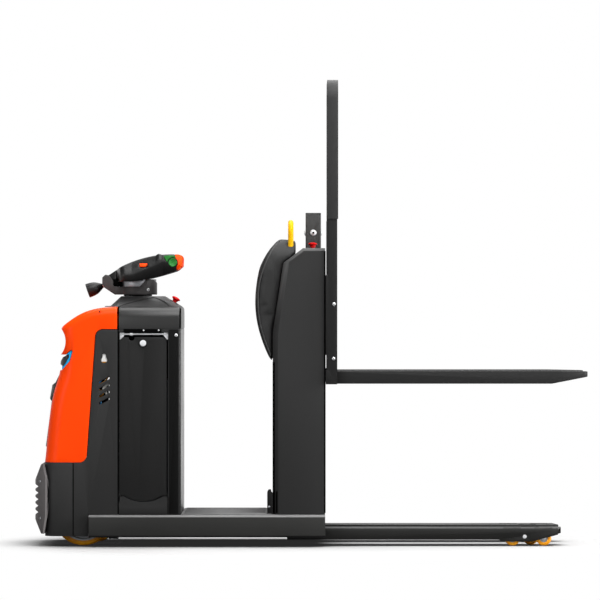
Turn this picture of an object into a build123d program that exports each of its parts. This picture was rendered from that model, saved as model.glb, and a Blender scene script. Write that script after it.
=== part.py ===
from build123d import *
import os

# Order picker with lifting forks, standing on its wheels at Z = 0, forks raised.
# +X runs from the drive end to the fork tips, -Y is the driver's left, +Z is up. Sizes in mm.

# Fits between pieces
RUN_FIT = 0.05
BODY_GAP = 0.3
PANEL_GAP = 3.0

# Chassis pan and side rails
RAIL_HALF = 390.0
RAIL_FRONT_X = -1027.0
RAIL_REAR_X = 62.0
RAIL_BOTTOM_Z = 45.0
RAIL_EDGE_R = 11.0
RAIL_LIP = 28.0
DECK_Z = 146.0
PAN_T = 6.0
RIB_T = 6.0
RIB_COUNT = 3
SKID_L = 44.0
SKID_W = 50.0
SKID_LOW_Z = 36.0
MAT_T = 4.0
MAT_EDGE = 24.0

# Body covers, drive end
BODY_HALF = 345.0
COVER_WALL = 4.0
SKIRT_X = -1232.0
SKIRT_TOP_Z = 388.0
SKIRT_BOTTOM_Z = 48.0
SKIRT_CORNER_R = 60.0
SKIRT_SEAM_X = -1101.0
HOOD_REAR_X = -897.0
HOOD_TOP_Z = 1105.0
HOOD_BEAK_X = -1160.0
HOOD_BEAK_Z = 1008.0
HOOD_ROOF_X = -1060.0
HOOD_ROOF_Z = 1076.0
HOOD_WAIST_X = -1184.0
HOOD_WAIST_Z = 735.0
HOOD_CHIN = 40.0
HOOD_RAKE = 0.13
HOOD_EDGE_R = 66.0
HOOD_ROOF_R = 40.0
HOOD_WALL = 4.0
SCOOP_LOW_Z = 884.0
SCOOP_DEEP_X = -1136.0
SCOOP_DEEP_Z = 955.0
POCKET_X = -1102.0
POCKET_TOP_Z = 908.0
POCKET_LOW_Z = 808.0
TRIM_BAND = 16.0
EYE_END_INSET = 8.0
INSERT_HALF = 200.0
INSERT_BROW_X = -1203.0
INSERT_BROW_Z = 743.0
INSERT_BULGE_X = -1214.0
INSERT_BULGE_Z = 680.0
INSERT_STRIP = 4.0
INSERT_END_X = -1233.0
INSERT_LOW_Z = 458.0
EYE_PROUD = 2.0
PANEL_EDGE_TOP_X = -999.0
PANEL_EDGE_LOW_X = -1037.0
PANEL_TOP_Z = 1003.0
PANEL_CORNER = 36.0

# Keyhole and slots in the side panels
KEYHOLE_X = -957.0
KEYHOLE_Z = 861.0
KEYHOLE_R = 14.0
KEYHOLE_TOP_R = 8.0
KEYHOLE_RISE = 21.0
SLOT_X = -956.0
SLOT_TOP_Z = 767.0
SLOT_PITCH = 32.0
SLOT_LENGTH = 53.0
SLOT_WIDTH = 11.0
SLOT_TILT = 28.0
SLOT_COUNT = 4

# Bumper
BUMPER_X = -1278.0
BUMPER_TOP_Z = 380.0
BUMPER_LOW_Z = 59.0
BUMPER_SHOULDER_Z = 305.0
BUMPER_KNEE_Z = 127.0
BUMPER_BACK_X = -1219.0
BUMPER_CORNER_R = 90.0
BUMPER_SIDE_PROUD = 9.0
BUMPER_BEVEL = 7.0
BUMPER_LEDGE = 16.0
BUMPER_FLARE_TOP = 62.0
BUMPER_FLARE_LOW = 84.0
NOTCH_TOP_Z = 276.0
NOTCH_PITCH = 29.7
NOTCH_DEPTH = 18.0
NOTCH_MOUTH = 21.0
NOTCH_COUNT = 5

# Drive compartment frame
BULKHEAD_X = -892.0
PLATE_T = 8.0
DRIVE_PLATE_Z = 400.0
DRIVE_PLATE_T = 14.0
DRIVE_PLATE_X = -1161.0
CHEEK_LOW_Z = 60.0

# Drive unit and drive wheel
DRIVE_X = -1058.0
DRIVE_Y = -180.0
DRIVE_WHEEL_R = 140.0
DRIVE_WHEEL_W = 80.0
DRIVE_TYRE_T = 22.0
DRIVE_AXLE_R = 22.0
DRIVE_DISH = 12.0
GEARBOX_HALF_X = 62.0
GEARBOX_T = 48.0
GEARBOX_GAP = 7.0
GEARBOX_LOW_Z = 72.0
TURNTABLE_R = 112.0
TURNTABLE_NECK_R = 88.0
TURNTABLE_T = 20.0
MOTOR_R = 80.0
MOTOR_H = 300.0

# Castor on the far side
CASTOR_X = -1040.0
CASTOR_Y = 200.0
CASTOR_WHEEL_R = 75.0
CASTOR_WHEEL_W = 50.0
CASTOR_TYRE_T = 15.0
CASTOR_TRAIL = 38.0
CASTOR_CROWN_Z = 176.0
CASTOR_PLATE_T = 10.0
CASTOR_STEM_R = 16.0
CASTOR_STEM_L = 120.0
CASTOR_TUBE_R = 34.0
CASTOR_AXLE_R = 9.0
CASTOR_CROWN_FRONT = 40.0
CASTOR_CROWN_REAR = 30.0
CASTOR_LEG_END = 20.0

# Hydraulic pump unit
PUMP_Y = 190.0
PUMP_X = -1010.0
PUMP_TANK_W = 190.0
PUMP_TANK_D = 130.0
PUMP_TANK_H = 170.0
PUMP_MOTOR_R = 55.0
PUMP_MOTOR_H = 170.0

# Battery box, door and battery
BOX_FRONT_X = -889.0
BOX_REAR_X = -603.0
BOX_TOP_Z = 1003.0
BOX_WALL = 4.0
BOX_CORNER_R = 12.0
POST_X = -662.0
DOOR_FRONT_X = -886.0
DOOR_REAR_X = -669.0
DOOR_TOP_Z = 966.0
DOOR_FLAT_Z = 232.0
DOOR_SAG = 26.0
DOOR_FLAT_W = 24.0
DOOR_T = 5.0
DOOR_INSET = 2.0
DOOR_CORNER = 16.0
DOOR_HEAD = 16.0
HINGE_RISE = 8.0
HINGE_PIN_R = 2.0
HINGE_LUG_H = 26.0
LATCH_Z = 938.0
LATCH_R = 14.5
LATCH_SHAFT_R = 6.0
LATCH_PROUD = 11.0
LATCH_TONGUE = 52.0
FINGER_HOLE_X = -830.0
FINGER_HOLE_Z = 963.0
FINGER_HOLE_R = 13.5
DOOR_ROD_Z = 980.0
DOOR_ROD_R = 4.5
GUSSET_T = 3.0
GUSSET_W = 20.0
GUSSET_H = 44.0
PACK_GAP = 12.0
PACK_H = 620.0

# Console
CONSOLE_EDGE_R = 54.0
CONSOLE_LIP_X = -932.0
CONSOLE_FLANGE = 24.0
CONSOLE_FLANGE_T = 4.0
CONSOLE_CREST_Z = 1155.0
CONSOLE_CREST_FRONT_X = -885.0
CONSOLE_CREST_REAR_X = -688.0
CONSOLE_CREST_HALF = 150.0
CONSOLE_FOOT_INSET = 6.0
CONSOLE_WALL = 6.0
ARCH_DEEP = 9.0
ARCH_FRONT_X = -902.0
ARCH_MID_X = -800.0
ARCH_MID_Z = 1136.0
ARCH_PEAK_X = -735.0
ARCH_PEAK_Z = 1150.0
ARCH_FALL_X = -700.0
ARCH_FALL_Z = 1138.0
ARCH_REAR_X = -654.0

# Emergency stops
STOP_CAP_R = 21.0
STOP_CAP_H = 13.0
STOP_NECK_R = 13.0
STOP_STEM_R = 11.0
STOP_STEM_L = 22.0
STOP_TRAVEL = 6.0
CONSOLE_STOP_X = -638.0
CONSOLE_STOP_Y = -150.0
CONSOLE_STOP_BOSS = 5.0
CONSOLE_STOP_NECK = 14.0
CONSOLE_STOP_TILT = 29.0
MAST_STOP_X = 5.0
MAST_STOP_Y = -95.0
MAST_STOP_NECK = 18.0

# Steering head
STEER_X = -812.0
STEER_RING_R = 64.0
STEER_SHAFT_R = 24.0
STEER_SHAFT_L = 70.0
HEAD_R = 90.0
HEAD_LOW_Z = 1162.0
HEAD_TOP_Z = 1199.0
DRUM_R = 86.0
DRUM_H = 35.0
CUP_X = -800.0
CUP_RISE = 30.0
CUP_CORNER = 18.0
ELBOW_X = -954.0
ELBOW_Z = 1234.0
ARM_HALF = 60.0
ARM_SLOT_HALF = 40.0
ELBOW_R = 20.0
ELBOW_PIN_R = 8.0

# Handle
HANDLE_HALF = 176.0
HANDLE_GAP_HALF = 112.0
HANDLE_GAP_X = -752.0
HANDLE_CAP_X = -630.0
HANDLE_TIP_X = -600.0
HANDLE_CORNER_R = 26.0
HANDLE_TOP_Z = 1349.0
HANDLE_NOSE_Z = 1328.0
HANDLE_JAW_Z = 1293.0
HANDLE_CHIN_Z = 1272.0
HANDLE_UNDER_X = -898.0
HANDLE_UNDER_Z = 1222.0
HANDLE_CLEAR = 3.0
HANDLE_SHOULDER_L = 24.0
HANDLE_NECK_L = 10.0
HANDLE_CUT_LOW = 60.0
HANDLE_CUT_HIGH = 160.0
LINK_GAP = 10.0
LINK_DROP = 31.0
HANDLE_MID_X = -805.0
HANDLE_MID_TOP_Z = 1325.0
HANDLE_MID_LOW_Z = 1227.0
THUMB_X = -648.0
THUMB_Z = 1312.0
THUMB_R = 22.0
THUMB_T = 12.0
THUMB_PIN_R = 5.0
BUTTON_X = -781.0
BUTTON_Z = 1298.0
BUTTON_W = 36.0
BUTTON_H = 17.0
BUTTON_T = 9.0
BUTTON_PROUD = 3.0

# Clamp knob
KNOB_TILT = 19.0
KNOB_STUD_R = 7.0
KNOB_STUD_L = 15.0
KNOB_L = 76.0
KNOB_NARROW_R = 9.5
KNOB_BELLY_L = 28.0
KNOB_BELLY_R = 26.0
KNOB_WIDE_R = 33.0

# Mast
MAST_HALF = 300.0
MAST_BACK_X = -180.0
MAST_KINK_Z = 985.0
MAST_SHOULDER_X = -131.0
MAST_SHOULDER_Z = 1308.0
MAST_CREST_X = -40.0
MAST_TOP_Z = 1377.0
MAST_BEVEL = 26.0
MAST_TOP_BEVEL = 12.0
MAST_WALL = 4.0
MAST_OPEN_HALF = 262.0
FOOT_T = 12.0
CHANNEL_BACK_X = -60.0
CHANNEL_FLANGE_T = 12.0
CHANNEL_GAP = 86.0
CHANNEL_WEB_T = 12.0
CHANNEL_OUT_Y = 243.0
CHANNEL_TIP_Y = 192.0
CHANNEL_HEAD = 24.0
MAST_TIE_H = 60.0
MAST_TIE_T = 10.0
MAST_TIE_LOW_Z = 590.0
MAST_TIE_TOP_Z = 1236.0

# Back pad, grab hoop, accessory post and foot bracket
PAD_HALF = 245.0
PAD_DEEP_X = -257.0
PAD_DEEP_Z = 1140.0
PAD_LOW_Z = 846.0
PAD_TOP_Z = 1420.0
PAD_FRONT_X = -148.0
PAD_BACK_X = -74.0
PAD_SHOULDER_R = 110.0
PAD_FOOT_R = 40.0
HOOP_X = -97.0
HOOP_R = 12.5
HOOP_HALF = 200.0
HOOP_TOP_Z = 1509.0
HOOP_BEND_R = 60.0
ACC_POST_X = 8.0
ACC_POST_W = 72.0
ACC_POST_WALL = 5.0
ACC_POST_TOP_Z = 1544.0
ACC_BOLT_Z = 1451.0
ACC_BOLT_HEAD_R = 15.0
ACC_BOLT_HEAD_T = 7.0
ACC_BOLT_R = 6.0
BRACKET_X = -206.0
BRACKET_W = 26.0
BRACKET_TOP_Z = 264.0
BRACKET_STEP_Z = 216.0
BRACKET_Y = -300.0
BRACKET_T = 6.0
BRACKET_FOOT = 34.0
BRACKET_TAPER = 8.0

# Lift cylinder, sheave and chain
CYL_X = -5.0
BARREL_R = 32.0
BARREL_BORE_R = 25.0
BARREL_BASE_T = 20.0
BARREL_TOP_Z = 606.0
GLAND_T = 40.0
ROD_R = 18.0
PISTON_H = 40.0
PISTON_Z = 475.0
ROD_END_Z = 972.0
CROSSHEAD_H = 22.0
CROSSHEAD_HALF = 27.0
CHEEK_T = 8.0
SHEAVE_Z = 1046.0
SHEAVE_ROOT_R = 40.0
SHEAVE_RIM_R = 48.0
SHEAVE_W = 34.0
SHEAVE_RIM_T = 4.0
SHEAVE_PIN_R = 11.0
CHAIN_T = 10.0
CHAIN_W = 22.0
CHAIN_FRONT_END_Z = 925.0

# Carriage, backrest and guide rollers
CARRIAGE_GAP = 3.0
CARRIAGE_PLATE_T = 11.0
CARRIAGE_TOP_Z = 1252.0
CARRIAGE_LOW_Z = 883.0
UPRIGHT_D = 42.0
UPRIGHT_W = 40.0
UPRIGHT_Y = 290.0
UPRIGHT_LOW_Z = 748.0
UPRIGHT_FOOT_TOP_Z = 814.0
UPRIGHT_WALL = 4.0
ROLLER_PLATE_Y = 178.0
ROLLER_PLATE_T = 12.0
ROLLER_PLATE_LOW_Z = 838.0
ROLLER_LOW_Z = 884.0
ROLLER_HIGH_Z = 1196.0
ROLLER_W = 30.0
ROLLER_PIN_R = 16.0
SLEEVE_WALL = 4.0
SLEEVE_LOW_Z = 1511.0
SLEEVE_LAP = 70.0
BACKREST_H = 645.0
BACKREST_BEND_R = 70.0
BAR_R = 7.0
BAR_COUNT = 5
TIE_H = 30.0
TIE_D = 20.0
TIE_Z = 1545.0

# Forks
FORK_Y = 190.0
FORK_W = 190.0
FORK_TOP_Z = 809.0
FORK_H = 59.0
FORK_LENGTH = 1160.0
FORK_TOP_T = 8.0
FORK_WALL = 6.0
FORK_TAPER_L = 168.0
FORK_TIP_LOW_Z = 782.0
FORK_NARROW_L = 106.0
FORK_TIP_HALF = 62.0
FORK_TIP_R = 26.0
FORK_TIP_SOLID = 30.0
SHANK_TOP_Z = 1010.0
SHANK_T = 22.0
SHANK_RIB_T = 10.0

# Load legs, bogies and load wheels
LEG_W = 168.0
LEG_ROOT_X = -114.0
LEG_LOW_Z = 29.0
LEG_TOP_Z = 82.0
LEG_WALL = 8.0
WHEEL_BOX_X = 871.0
WHEEL_BOX_END_X = 1140.0
WHEEL_BOX_LOW_Z = 21.0
WHEEL_BOX_SLOPE_X = 1023.0
WHEEL_BOX_NOSE_Z = 52.0
INNER_NOSE = 20.0
LOAD_CHEEK_T = 10.0
LOAD_WHEEL_R = 35.0
LOAD_TYRE_T = 16.0
LOAD_WHEEL_W = 52.0
LOAD_AXLE_R = 10.0
LOAD_REAR_X = 929.0
LOAD_FRONT_X = 1074.0
LOAD_INNER_X = 1016.0
BOGIE_PIVOT_X = 985.0
BOGIE_PIVOT_Z = 43.0
BOGIE_PIN_R = 9.0
BOGIE_HEAD_T = 3.0
BOGIE_END = 16.0
BOGIE_T = 12.0
BOGIE_O = 3.0
WEB_T = 8.0
WHEEL_SIDE_GAP = 3.0

# Sizes that follow from the ones above
MAST_FRONT_X = RAIL_REAR_X
PLATE_X = MAST_FRONT_X + CARRIAGE_GAP
UPRIGHT_X = PLATE_X + CARRIAGE_PLATE_T
FORK_FACE_X = UPRIGHT_X + UPRIGHT_D
FOOT_TOP_Z = LEG_TOP_Z + FOOT_T
CHANNEL_FRONT_X = CHANNEL_BACK_X + 2 * CHANNEL_FLANGE_T + CHANNEL_GAP
ROLLER_X = CHANNEL_BACK_X + CHANNEL_FLANGE_T + CHANNEL_GAP / 2
ROLLER_R = CHANNEL_GAP / 2 - BODY_GAP
CHAIN_R = SHEAVE_ROOT_R + BODY_GAP
CHEEK_HALF = BODY_HALF - COVER_WALL - BODY_GAP
CONSOLE_LOW_Z = HOOD_TOP_Z + BODY_GAP
CONSOLE_FOOT_X = BOX_REAR_X - CONSOLE_FOOT_INSET
CONSOLE_BASE_HALF = BODY_HALF - CONSOLE_EDGE_R
CONSOLE_FALL = (CONSOLE_CREST_Z - CONSOLE_LOW_Z) / (CONSOLE_FOOT_X - CONSOLE_CREST_REAR_X)
CONSOLE_STOP_DROP = (CONSOLE_STOP_X - CONSOLE_CREST_REAR_X) * CONSOLE_FALL
CONSOLE_STOP_Z = CONSOLE_CREST_Z - CONSOLE_STOP_DROP + CONSOLE_STOP_BOSS
FORK_TIP_X = FORK_FACE_X + FORK_LENGTH
FORK_TAPER_X = FORK_TIP_X - FORK_TAPER_L
FORK_NARROW_X = FORK_TIP_X - FORK_NARROW_L
BACKREST_TOP_Z = SLEEVE_LOW_Z + BACKREST_H


def block(x0, x1, y0, y1, z0, z1):
    return Pos((x0 + x1) / 2, (y0 + y1) / 2, (z0 + z1) / 2) * Box(x1 - x0, y1 - y0, z1 - z0)


def side_slab(face, y0, y1):
    # an outline drawn in X and Z, carried across the truck
    return extrude(Plane.XZ.offset(-y1) * face, amount=y1 - y0)


def plan_slab(face, z0, z1):
    return extrude(Plane.XY.offset(z0) * face, amount=z1 - z0)


def shape(*points):
    return make_face(Polyline(*points, close=True))


def rod_y(x, z, r, y0, y1):
    return Pos(x, (y0 + y1) / 2, z) * Rot(90, 0, 0) * Cylinder(r, y1 - y0)


def rod_z(x, y, r, z0, z1):
    return Pos(x, y, (z0 + z1) / 2) * Cylinder(r, z1 - z0)


def rod_x(y, z, r, x0, x1):
    return Pos((x0 + x1) / 2, y, z) * Rot(0, 90, 0) * Cylinder(r, x1 - x0)


def far(part):
    return mirror(part, about=Plane.XZ)


def save(name, *solids):
    whole = solids[0] if len(solids) == 1 else Compound(children=list(solids))
    export_step(whole, f"parts/{name}.step")


# Chassis

def chassis_frame():
    pan = block(RAIL_FRONT_X, RAIL_REAR_X, -RAIL_HALF, RAIL_HALF, RAIL_BOTTOM_Z, DECK_Z)
    long_edges = [e for e in pan.edges().filter_by(Axis.X) if e.center().Z > DECK_Z - 1]
    pan = fillet(long_edges, RAIL_EDGE_R)
    inner = RAIL_HALF - PAN_T
    pan -= block(RAIL_FRONT_X - 1, RAIL_REAR_X + 1, -inner, inner, RAIL_BOTTOM_Z - 1, DECK_Z - PAN_T)
    for s in (-1, 1):
        a, b = sorted((s * (RAIL_HALF - RAIL_LIP), s * RAIL_HALF))
        pan += block(RAIL_FRONT_X, RAIL_REAR_X, a, b, RAIL_BOTTOM_Z, RAIL_BOTTOM_Z + PAN_T)
    # wheel well ahead of the bulkhead, and the pit that the lowered carriage sinks into
    well = CHEEK_HALF - PLATE_T
    pan -= block(RAIL_FRONT_X - 1, BULKHEAD_X, -well, well, DECK_Z - PAN_T - 1, DECK_Z + 1)
    pit = MAST_OPEN_HALF
    pan -= block(CHANNEL_BACK_X - MAST_TIE_T - 2, RAIL_REAR_X + 1, -pit, pit, DECK_Z - PAN_T - 1, DECK_Z + 1)
    pan += block(LEG_ROOT_X, MAST_FRONT_X, -inner, inner, LEG_TOP_Z, FOOT_TOP_Z)
    pan += block(LEG_ROOT_X, LEG_ROOT_X + PLATE_T, -inner, inner, LEG_TOP_Z, DECK_Z - PAN_T)
    span = (LEG_ROOT_X - BULKHEAD_X) / (RIB_COUNT + 1)
    for i in range(1, RIB_COUNT + 1):
        x = BULKHEAD_X + span * i
        pan += block(x, x + RIB_T, -inner, inner, RAIL_BOTTOM_Z + PAN_T, DECK_Z - PAN_T)
    # drive compartment: bulkhead, two cheeks and the plate that carries the drive unit
    top = DRIVE_PLATE_Z + DRIVE_PLATE_T
    pan += block(BULKHEAD_X - PLATE_T, BULKHEAD_X, -CHEEK_HALF, CHEEK_HALF, RAIL_BOTTOM_Z, top)
    for s in (-1, 1):
        a, b = sorted((s * (CHEEK_HALF - PLATE_T), s * CHEEK_HALF))
        pan += block(DRIVE_PLATE_X, BULKHEAD_X, a, b, CHEEK_LOW_Z, top)
    plate = block(DRIVE_PLATE_X, BULKHEAD_X, -CHEEK_HALF, CHEEK_HALF, DRIVE_PLATE_Z, top)
    pan += plate
    pan -= rod_z(DRIVE_X, DRIVE_Y, TURNTABLE_NECK_R + RUN_FIT, DRIVE_PLATE_Z - 1, top + 1)
    for s in (-1, 1):
        a, b = sorted((s * (CHEEK_HALF - SKID_W), s * CHEEK_HALF))
        pan += block(BULKHEAD_X - SKID_L, BULKHEAD_X, a, b, SKID_LOW_Z, CHEEK_LOW_Z)
    stem_low = CASTOR_CROWN_Z + BODY_GAP
    pan += rod_z(CASTOR_X, CASTOR_Y, CASTOR_TUBE_R, stem_low, DRIVE_PLATE_Z)
    pan -= rod_z(CASTOR_X, CASTOR_Y, CASTOR_STEM_R + RUN_FIT, stem_low - 1, stem_low + CASTOR_STEM_L + 4)
    return pan


def platform_mat():
    mat = block(BOX_REAR_X + PANEL_GAP, MAST_BACK_X - PANEL_GAP, -RAIL_HALF + MAT_EDGE, RAIL_HALF - MAT_EDGE,
                DECK_Z, DECK_Z + MAT_T)
    y0 = BRACKET_Y - BRACKET_T - PANEL_GAP
    y1 = BRACKET_Y + BRACKET_FOOT + PANEL_GAP
    foot = block(BRACKET_X - PANEL_GAP, MAST_BACK_X, y0, y1, DECK_Z - 1, DECK_Z + MAT_T + 1)
    return mat - foot


def wheel_opening(x, o0, o1):
    half = LOAD_WHEEL_R + 6
    return block(x - half, x + half, FORK_Y + o0, FORK_Y + o1, LEG_TOP_Z - LEG_WALL - 8, LEG_TOP_Z + 1)


def leg_right():
    # offsets o run from the middle of the leg to its outer side
    half = LEG_W / 2
    beam = block(LEG_ROOT_X, WHEEL_BOX_X + 6, FORK_Y - half, FORK_Y + half, LEG_LOW_Z, LEG_TOP_Z)
    beam -= block(LEG_ROOT_X - 1, WHEEL_BOX_X + 7, FORK_Y - half + LEG_WALL, FORK_Y + half - LEG_WALL,
                  LEG_LOW_Z - 1, LEG_TOP_Z - LEG_WALL)
    beam += block(LEG_ROOT_X, WHEEL_BOX_X, FORK_Y - half, FORK_Y + half, LEG_LOW_Z, LEG_LOW_Z + LEG_WALL)

    def cheek(end):
        return shape((WHEEL_BOX_X, WHEEL_BOX_LOW_Z), (WHEEL_BOX_SLOPE_X, WHEEL_BOX_LOW_Z),
                     (end, WHEEL_BOX_NOSE_Z), (end, LEG_TOP_Z), (WHEEL_BOX_X, LEG_TOP_Z))

    beam += side_slab(cheek(WHEEL_BOX_END_X), FORK_Y + half - LOAD_CHEEK_T, FORK_Y + half)
    beam += side_slab(cheek(WHEEL_BOX_END_X + INNER_NOSE), FORK_Y - half, FORK_Y - half + LOAD_CHEEK_T)
    lid = shape((WHEEL_BOX_X, FORK_Y - half), (WHEEL_BOX_END_X + INNER_NOSE, FORK_Y - half),
                (WHEEL_BOX_END_X + INNER_NOSE, FORK_Y - half + LOAD_CHEEK_T),
                (WHEEL_BOX_END_X, FORK_Y + half - LOAD_CHEEK_T), (WHEEL_BOX_END_X, FORK_Y + half),
                (WHEEL_BOX_X, FORK_Y + half))
    beam += plan_slab(lid, LEG_TOP_Z - LEG_WALL, LEG_TOP_Z)
    beam += block(WHEEL_BOX_X, WHEEL_BOX_X + 6, FORK_Y - half, FORK_Y + half, WHEEL_BOX_LOW_Z, LEG_TOP_Z)
    web_y1 = FORK_Y + BOGIE_O - WHEEL_SIDE_GAP
    beam += block(BOGIE_PIVOT_X - 26, LOAD_INNER_X + 26, web_y1 - WEB_T, web_y1,
                  WHEEL_BOX_LOW_Z, LEG_TOP_Z - LEG_WALL)
    inner_o = BOGIE_O - WHEEL_SIDE_GAP - WEB_T
    beam -= wheel_opening(LOAD_REAR_X, BOGIE_O + BOGIE_T, half - LOAD_CHEEK_T)
    beam -= wheel_opening(LOAD_FRONT_X, BOGIE_O + BOGIE_T, half - LOAD_CHEEK_T)
    beam -= wheel_opening(LOAD_INNER_X, -half + LOAD_CHEEK_T, inner_o - 1)
    # open slot for the inner axle
    slot_r = LOAD_AXLE_R + 4
    beam -= rod_y(LOAD_INNER_X, LOAD_WHEEL_R, slot_r, web_y1 - WEB_T - 1, web_y1 + 1)
    beam -= block(LOAD_INNER_X - slot_r, LOAD_INNER_X + slot_r, web_y1 - WEB_T - 1, web_y1 + 1,
                  WHEEL_BOX_LOW_Z - 1, LOAD_WHEEL_R)
    pin_hole = BOGIE_PIN_R + RUN_FIT
    beam -= rod_y(BOGIE_PIVOT_X, BOGIE_PIVOT_Z, pin_hole, web_y1 - WEB_T - 1, FORK_Y + half + 1)
    return beam


def bogie_right():
    half = LEG_W / 2
    y0 = FORK_Y + BOGIE_O
    y1 = y0 + BOGIE_T
    low = LOAD_WHEEL_R - LOAD_AXLE_R - 5
    high = BOGIE_PIVOT_Z + BOGIE_PIN_R + 7
    shoulder = LOAD_WHEEL_R + 12
    rear = LOAD_REAR_X - BOGIE_END
    front = LOAD_FRONT_X + BOGIE_END
    rocker = shape((rear, low), (front, low), (front, shoulder), (LOAD_INNER_X + 14, high),
                   (BOGIE_PIVOT_X - 22, high), (rear, shoulder))
    body = side_slab(rocker, y0, y1)
    for x in (LOAD_REAR_X, LOAD_FRONT_X):
        body += rod_y(x, LOAD_WHEEL_R, LOAD_AXLE_R, y1, half + FORK_Y - LOAD_CHEEK_T - 1)
    body += rod_y(LOAD_INNER_X, LOAD_WHEEL_R, LOAD_AXLE_R, FORK_Y - half + LOAD_CHEEK_T + 1, y0)
    pin_in = FORK_Y + BOGIE_O - WHEEL_SIDE_GAP - WEB_T
    body += rod_y(BOGIE_PIVOT_X, BOGIE_PIVOT_Z, BOGIE_PIN_R, pin_in, FORK_Y + half + BOGIE_HEAD_T)
    return body


def load_wheel(x, y0, y1):
    hub_r = LOAD_WHEEL_R - LOAD_TYRE_T
    bore = rod_y(x, LOAD_WHEEL_R, LOAD_AXLE_R + RUN_FIT, y0 - 1, y1 + 1)
    hub = rod_y(x, LOAD_WHEEL_R, hub_r, y0, y1) - bore
    tyre = rod_y(x, LOAD_WHEEL_R, LOAD_WHEEL_R, y0, y1) - rod_y(x, LOAD_WHEEL_R, hub_r, y0 - 1, y1 + 1)
    return hub, tyre


# Drive end covers

def skirt_plan(grow):
    x0 = SKIRT_X - grow
    half = BODY_HALF + grow
    face = shape((x0, -half), (SKIRT_SEAM_X, -half), (SKIRT_SEAM_X, half), (x0, half))
    corners = [v for v in face.vertices() if v.X < x0 + 1]
    return fillet(corners, SKIRT_CORNER_R + grow)


def front_skirt():
    outer = plan_slab(skirt_plan(0), SKIRT_BOTTOM_Z, SKIRT_TOP_Z)
    inner = plan_slab(skirt_plan(-COVER_WALL), SKIRT_BOTTOM_Z - 1, SKIRT_TOP_Z + 1)
    return outer - inner


def front_bumper():
    ledge = SKIRT_X - BUMPER_LEDGE
    face = [(ledge, BUMPER_TOP_Z), (BUMPER_X, BUMPER_SHOULDER_Z)]
    for i in range(NOTCH_COUNT):
        z = NOTCH_TOP_Z - NOTCH_PITCH * i
        face.append((BUMPER_X, z + NOTCH_MOUTH / 2))
        face.append((BUMPER_X + NOTCH_DEPTH, z))
        face.append((BUMPER_X, z - NOTCH_MOUTH / 2))
    face += [(BUMPER_X, BUMPER_KNEE_Z), (ledge, BUMPER_LOW_Z), (SKIRT_X, BUMPER_LOW_Z)]
    face.append((BUMPER_BACK_X, BUMPER_LOW_Z + BUMPER_FLARE_LOW))
    face += [(BUMPER_BACK_X, BUMPER_TOP_Z - BUMPER_FLARE_TOP), (SKIRT_X, BUMPER_TOP_Z)]
    half = BODY_HALF + BUMPER_SIDE_PROUD
    bar = side_slab(shape(*face), -half, half)
    bar = chamfer([e for e in side_rims(bar, half) if e.center().X > SKIRT_X], BUMPER_BEVEL)
    plan = shape((BUMPER_X, -half), (SKIRT_SEAM_X, -half), (SKIRT_SEAM_X, half), (BUMPER_X, half))
    plan = fillet([v for v in plan.vertices() if v.X < BUMPER_X + 1], BUMPER_CORNER_R)
    bar = bar & plan_slab(plan, BUMPER_LOW_Z - 1, BUMPER_TOP_Z + 1)
    return bar - plan_slab(skirt_plan(0), SKIRT_BOTTOM_Z - 1, BUMPER_TOP_Z + 2)


def hood_outline(inset):
    low = SKIRT_TOP_Z - (20 if inset else 0)
    beak = (HOOD_BEAK_X + inset, HOOD_BEAK_Z - inset)
    chin = (HOOD_BEAK_X + inset, POCKET_LOW_Z + HOOD_CHIN)
    waist = (HOOD_WAIST_X + inset, HOOD_WAIST_Z)
    foot = (SKIRT_X - 1 + inset, low)
    rear = HOOD_REAR_X + (40 if inset else 0)
    top = HOOD_TOP_Z - inset
    front = Spline(chin, waist, foot, tangents=[(0, -1), (-HOOD_RAKE, -1)])
    roof = Spline(beak, (HOOD_ROOF_X, HOOD_ROOF_Z - inset), (rear, top), tangents=[(0.78, 0.62), (1, 0)])
    lines = [front, Line(foot, (rear, low)), Line((rear, low), (rear, top)), roof, Line(chin, beak)]
    return make_face(Curve() + lines)


def scoop():
    # the hollow under the beak
    lip = (HOOD_BEAK_X - 40, SCOOP_LOW_Z)
    low = (HOOD_BEAK_X, SCOOP_LOW_Z)
    arc = ThreePointArc(low, (SCOOP_DEEP_X, SCOOP_DEEP_Z), (HOOD_BEAK_X, HOOD_BEAK_Z))
    back = (HOOD_BEAK_X - 40, HOOD_BEAK_Z)
    return make_face(Curve() + [arc, Line((HOOD_BEAK_X, HOOD_BEAK_Z), back), Line(back, lip), Line(lip, low)])


def pocket():
    # the eye in the hood front, drawn in X and Z
    lip = POCKET_TOP_Z - 23
    low = POCKET_LOW_Z + 4
    return shape((HOOD_BEAK_X - 40, lip), (HOOD_BEAK_X + 24, lip), (POCKET_X - 7, POCKET_TOP_Z),
                 (POCKET_X, POCKET_TOP_Z - 8), (POCKET_X - 13, POCKET_TOP_Z - 53), (HOOD_BEAK_X + 6, low),
                 (HOOD_BEAK_X - 40, low))


def side_rims(body, half):
    # the edges of a slab's two outer sides
    return [e for e in body.edges() if abs(abs(e.center().Y) - half) < 0.1]


def hood_block(inset):
    half = BODY_HALF - inset
    body = side_slab(hood_outline(inset), -half, half)
    rims = [e for e in side_rims(body, half) if e.center().X < HOOD_REAR_X - 30]
    front = [e for e in rims if SKIRT_TOP_Z + 20 < e.center().Z < HOOD_BEAK_Z - 1]
    body = fillet(front, HOOD_EDGE_R - inset)
    rims = [e for e in side_rims(body, half) if e.center().X < HOOD_REAR_X - 30]
    roof = [e for e in rims if HOOD_BEAK_Z + 1 < e.center().Z < HOOD_TOP_Z - inset - 1]
    return fillet(roof, HOOD_ROOF_R - inset)


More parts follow.
